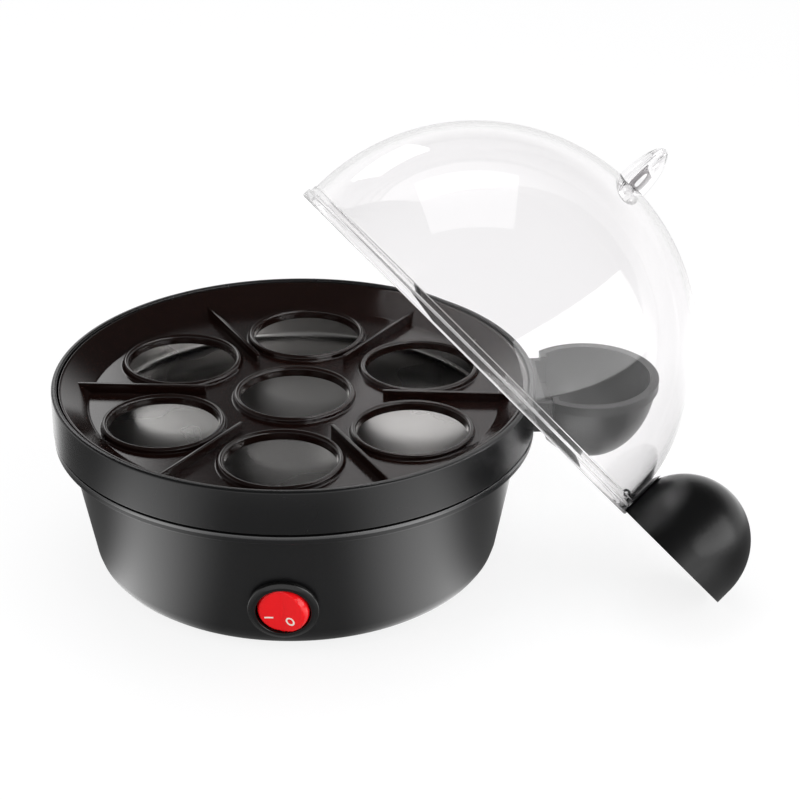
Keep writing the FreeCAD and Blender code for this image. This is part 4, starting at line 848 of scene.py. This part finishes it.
# %% Ribs
RIB_COUNT, RIB_ANGLE = 6, 60
RIB_HALF, RIB_TOP, RIB_ROUND, RIB_SEGMENTS = 0.65, 65.0, 0.2, 3
RIB_SIDE = ((31.0, 61.0), (71.5, 61.0), (76.2, 64.7), (76.2, RIB_TOP), (31.0, RIB_TOP))
for index in range(RIB_COUNT):
    rib = bmesh.new()
    side = [rib.verts.new((x * MM, -RIB_HALF * MM, z * MM)) for x, z in RIB_SIDE]
    face = rib.faces.new(side)
    grown = bmesh.ops.extrude_face_region(rib, geom=[face])
    bmesh.ops.translate(rib, vec=(0.0, 2 * RIB_HALF * MM, 0.0),
                        verts=[item for item in grown["geom"] if isinstance(item, bmesh.types.BMVert)])
    rounded(rib, rib.edges[:], RIB_ROUND, RIB_SEGMENTS)
    keep("rib_%d" % index, rib, tray_painted_reflection, "tray",
         place=Matrix.Rotation(math.radians(RIB_ANGLE * index), 4, "Z"))

# %% [markdown]
# ## The lid
#
# The dome is thin clear plastic. What the eye sees of it is its edge: the skirt and its two small steps, which bend
# the light into a few bright and dark lines. So the outline has these steps in full, and the walls have their real
# thickness, because refraction through a wall without thickness would look like a ball of glass.

# %% Where the lid lies
LID_AT = (58.7118, 8.0776, 75.3879)
LID_TOWARDS, LID_LEAN, LID_ROLL = math.radians(25.7), math.radians(49.7), math.radians(-40.6)
LID = (shift(LID_AT) @ Matrix.Rotation(LID_TOWARDS, 4, "Z") @ Matrix.Rotation(LID_LEAN, 4, "Y")
       @ Matrix.Rotation(LID_ROLL, 4, "Z"))
print("lid origin", LID_AT, "lean", round(math.degrees(LID_LEAN), 1))

# %% Helper for the dome's curve
def arc(shape, start, centre_height, angle, steps):
    """Carry an outline on along a circle about a point of the axis, and give back its last vertex."""
    drawn = bmesh.ops.spin(shape, geom=[start], axis=(0, -1, 0), cent=(0.0, 0.0, centre_height * MM), angle=angle,
                           steps=steps, use_merge=False)
    return [item for item in drawn["geom_last"] if isinstance(item, bmesh.types.BMVert)][0]


# %% Dome
DOME_CENTRE = 5.4
ARC_STEPS, DOME_STEPS = 48, 240
# The heights between which the skirt has the frosted finish: its mouth and its two steps.
EDGE_BANDS = ((-0.1, 0.75), (2.6, 3.75), (4.9, 5.9))
SKIRT = [
    (75.6, DOME_CENTRE), (75.6, 3.2, 0.25), (76.5, 3.2, 0.25), (76.5, 0.0, 0.5), (78.7, 0.0, 0.7), (78.7, 3.2, 0.7),
    (77.8, 3.2, 0.2), (77.8, DOME_CENTRE, 0.35), (77.4, DOME_CENTRE),
]
dome = bmesh.new()
outline(dome, SKIRT, closed=False)
dome.verts.ensure_lookup_table()
for end in sorted((vert for vert in dome.verts if len(vert.link_edges) == 1), key=lambda vert: vert.co.x):
    arc(dome, end, DOME_CENTRE, math.pi / 2, ARC_STEPS)
spin(dome, DOME_STEPS)
for face in dome.faces:
    height = face.calc_center_median().z / MM
    face.material_index = int(any(low < height < high for low, high in EDGE_BANDS))
keep("dome", dome, (lid_clear, lid_edge), "lid", ["lid_dome"], place=LID)

# %% [markdown]
# The knob is a solid clear lens that stands on the crown. Two half balls of unlike height make it, and a ball as
# large as the dome cuts its underside, so that it follows the crown with a hair's clearance. A small grey steam vent
# stands in a notch of its side.

# %% Knob
CROWN, KNOB_GAP = 82.8, 0.12
NOTCH_AT, NOTCH_SIZE = (-7.78, 0.0, 80.0), (10.6, 3.84, 18.4)
KNOB_HALF_WIDTH, KNOB_HALF_LENGTH, KNOB_HEIGHT, KNOB_ROOT = 5.3, 19.0, 17.0, 6.0
knob = bmesh.new()
bmesh.ops.create_uvsphere(knob, u_segments=72, v_segments=48, radius=1.0)
upper = [vert for vert in knob.verts if vert.co.z > 0]
lower = [vert for vert in knob.verts if vert.co.z <= 0]
bmesh.ops.scale(knob, vec=(KNOB_HALF_WIDTH * MM, KNOB_HALF_LENGTH * MM, KNOB_HEIGHT * MM), verts=upper)
bmesh.ops.scale(knob, vec=(KNOB_HALF_WIDTH * MM, KNOB_HALF_LENGTH * MM, KNOB_ROOT * MM), verts=lower)
bmesh.ops.translate(knob, vec=(0.0, 0.0, CROWN * MM), verts=knob.verts)
seat = bmesh.new()
bmesh.ops.create_uvsphere(seat, u_segments=160, v_segments=120, radius=(CROWN - DOME_CENTRE + KNOB_GAP) * MM,
                          matrix=shift((0, 0, DOME_CENTRE)))
notch = bmesh.new()
bmesh.ops.create_cube(notch, size=MM, matrix=shift(NOTCH_AT) @ Matrix.Diagonal((*NOTCH_SIZE, 1.0)))
knob = drilled(knob, [seat, notch])
keep("knob", knob, knob_clear, "lid", ["lid_knob"], place=LID)

# %% [markdown]
# The vent and the lid's handle have the right form in the CAD, so they only get softer edges, as on the base.

# %% Vent and the lid's handle
VENT_ROUND, HANDLE_ROUND = 0.25, 0.4
keep("vent", softened("lid_vent", VENT_ROUND), vent_grey, "lid", ["lid_vent"], outward=False,
     weighted=True)
keep("handle_on_lid", softened("lid_handle", HANDLE_ROUND), handle_black, "lid", ["lid_handle"],
     outward=False, weighted=True)

# %% [markdown]
# ## Colour
#
# The finishes were judged against a plain white picture, so the view transform is the standard one, without a film
# curve.

# %% Colour management
bpy.context.scene.view_settings.view_transform = "Standard"
print("view transform", bpy.context.scene.view_settings.view_transform)
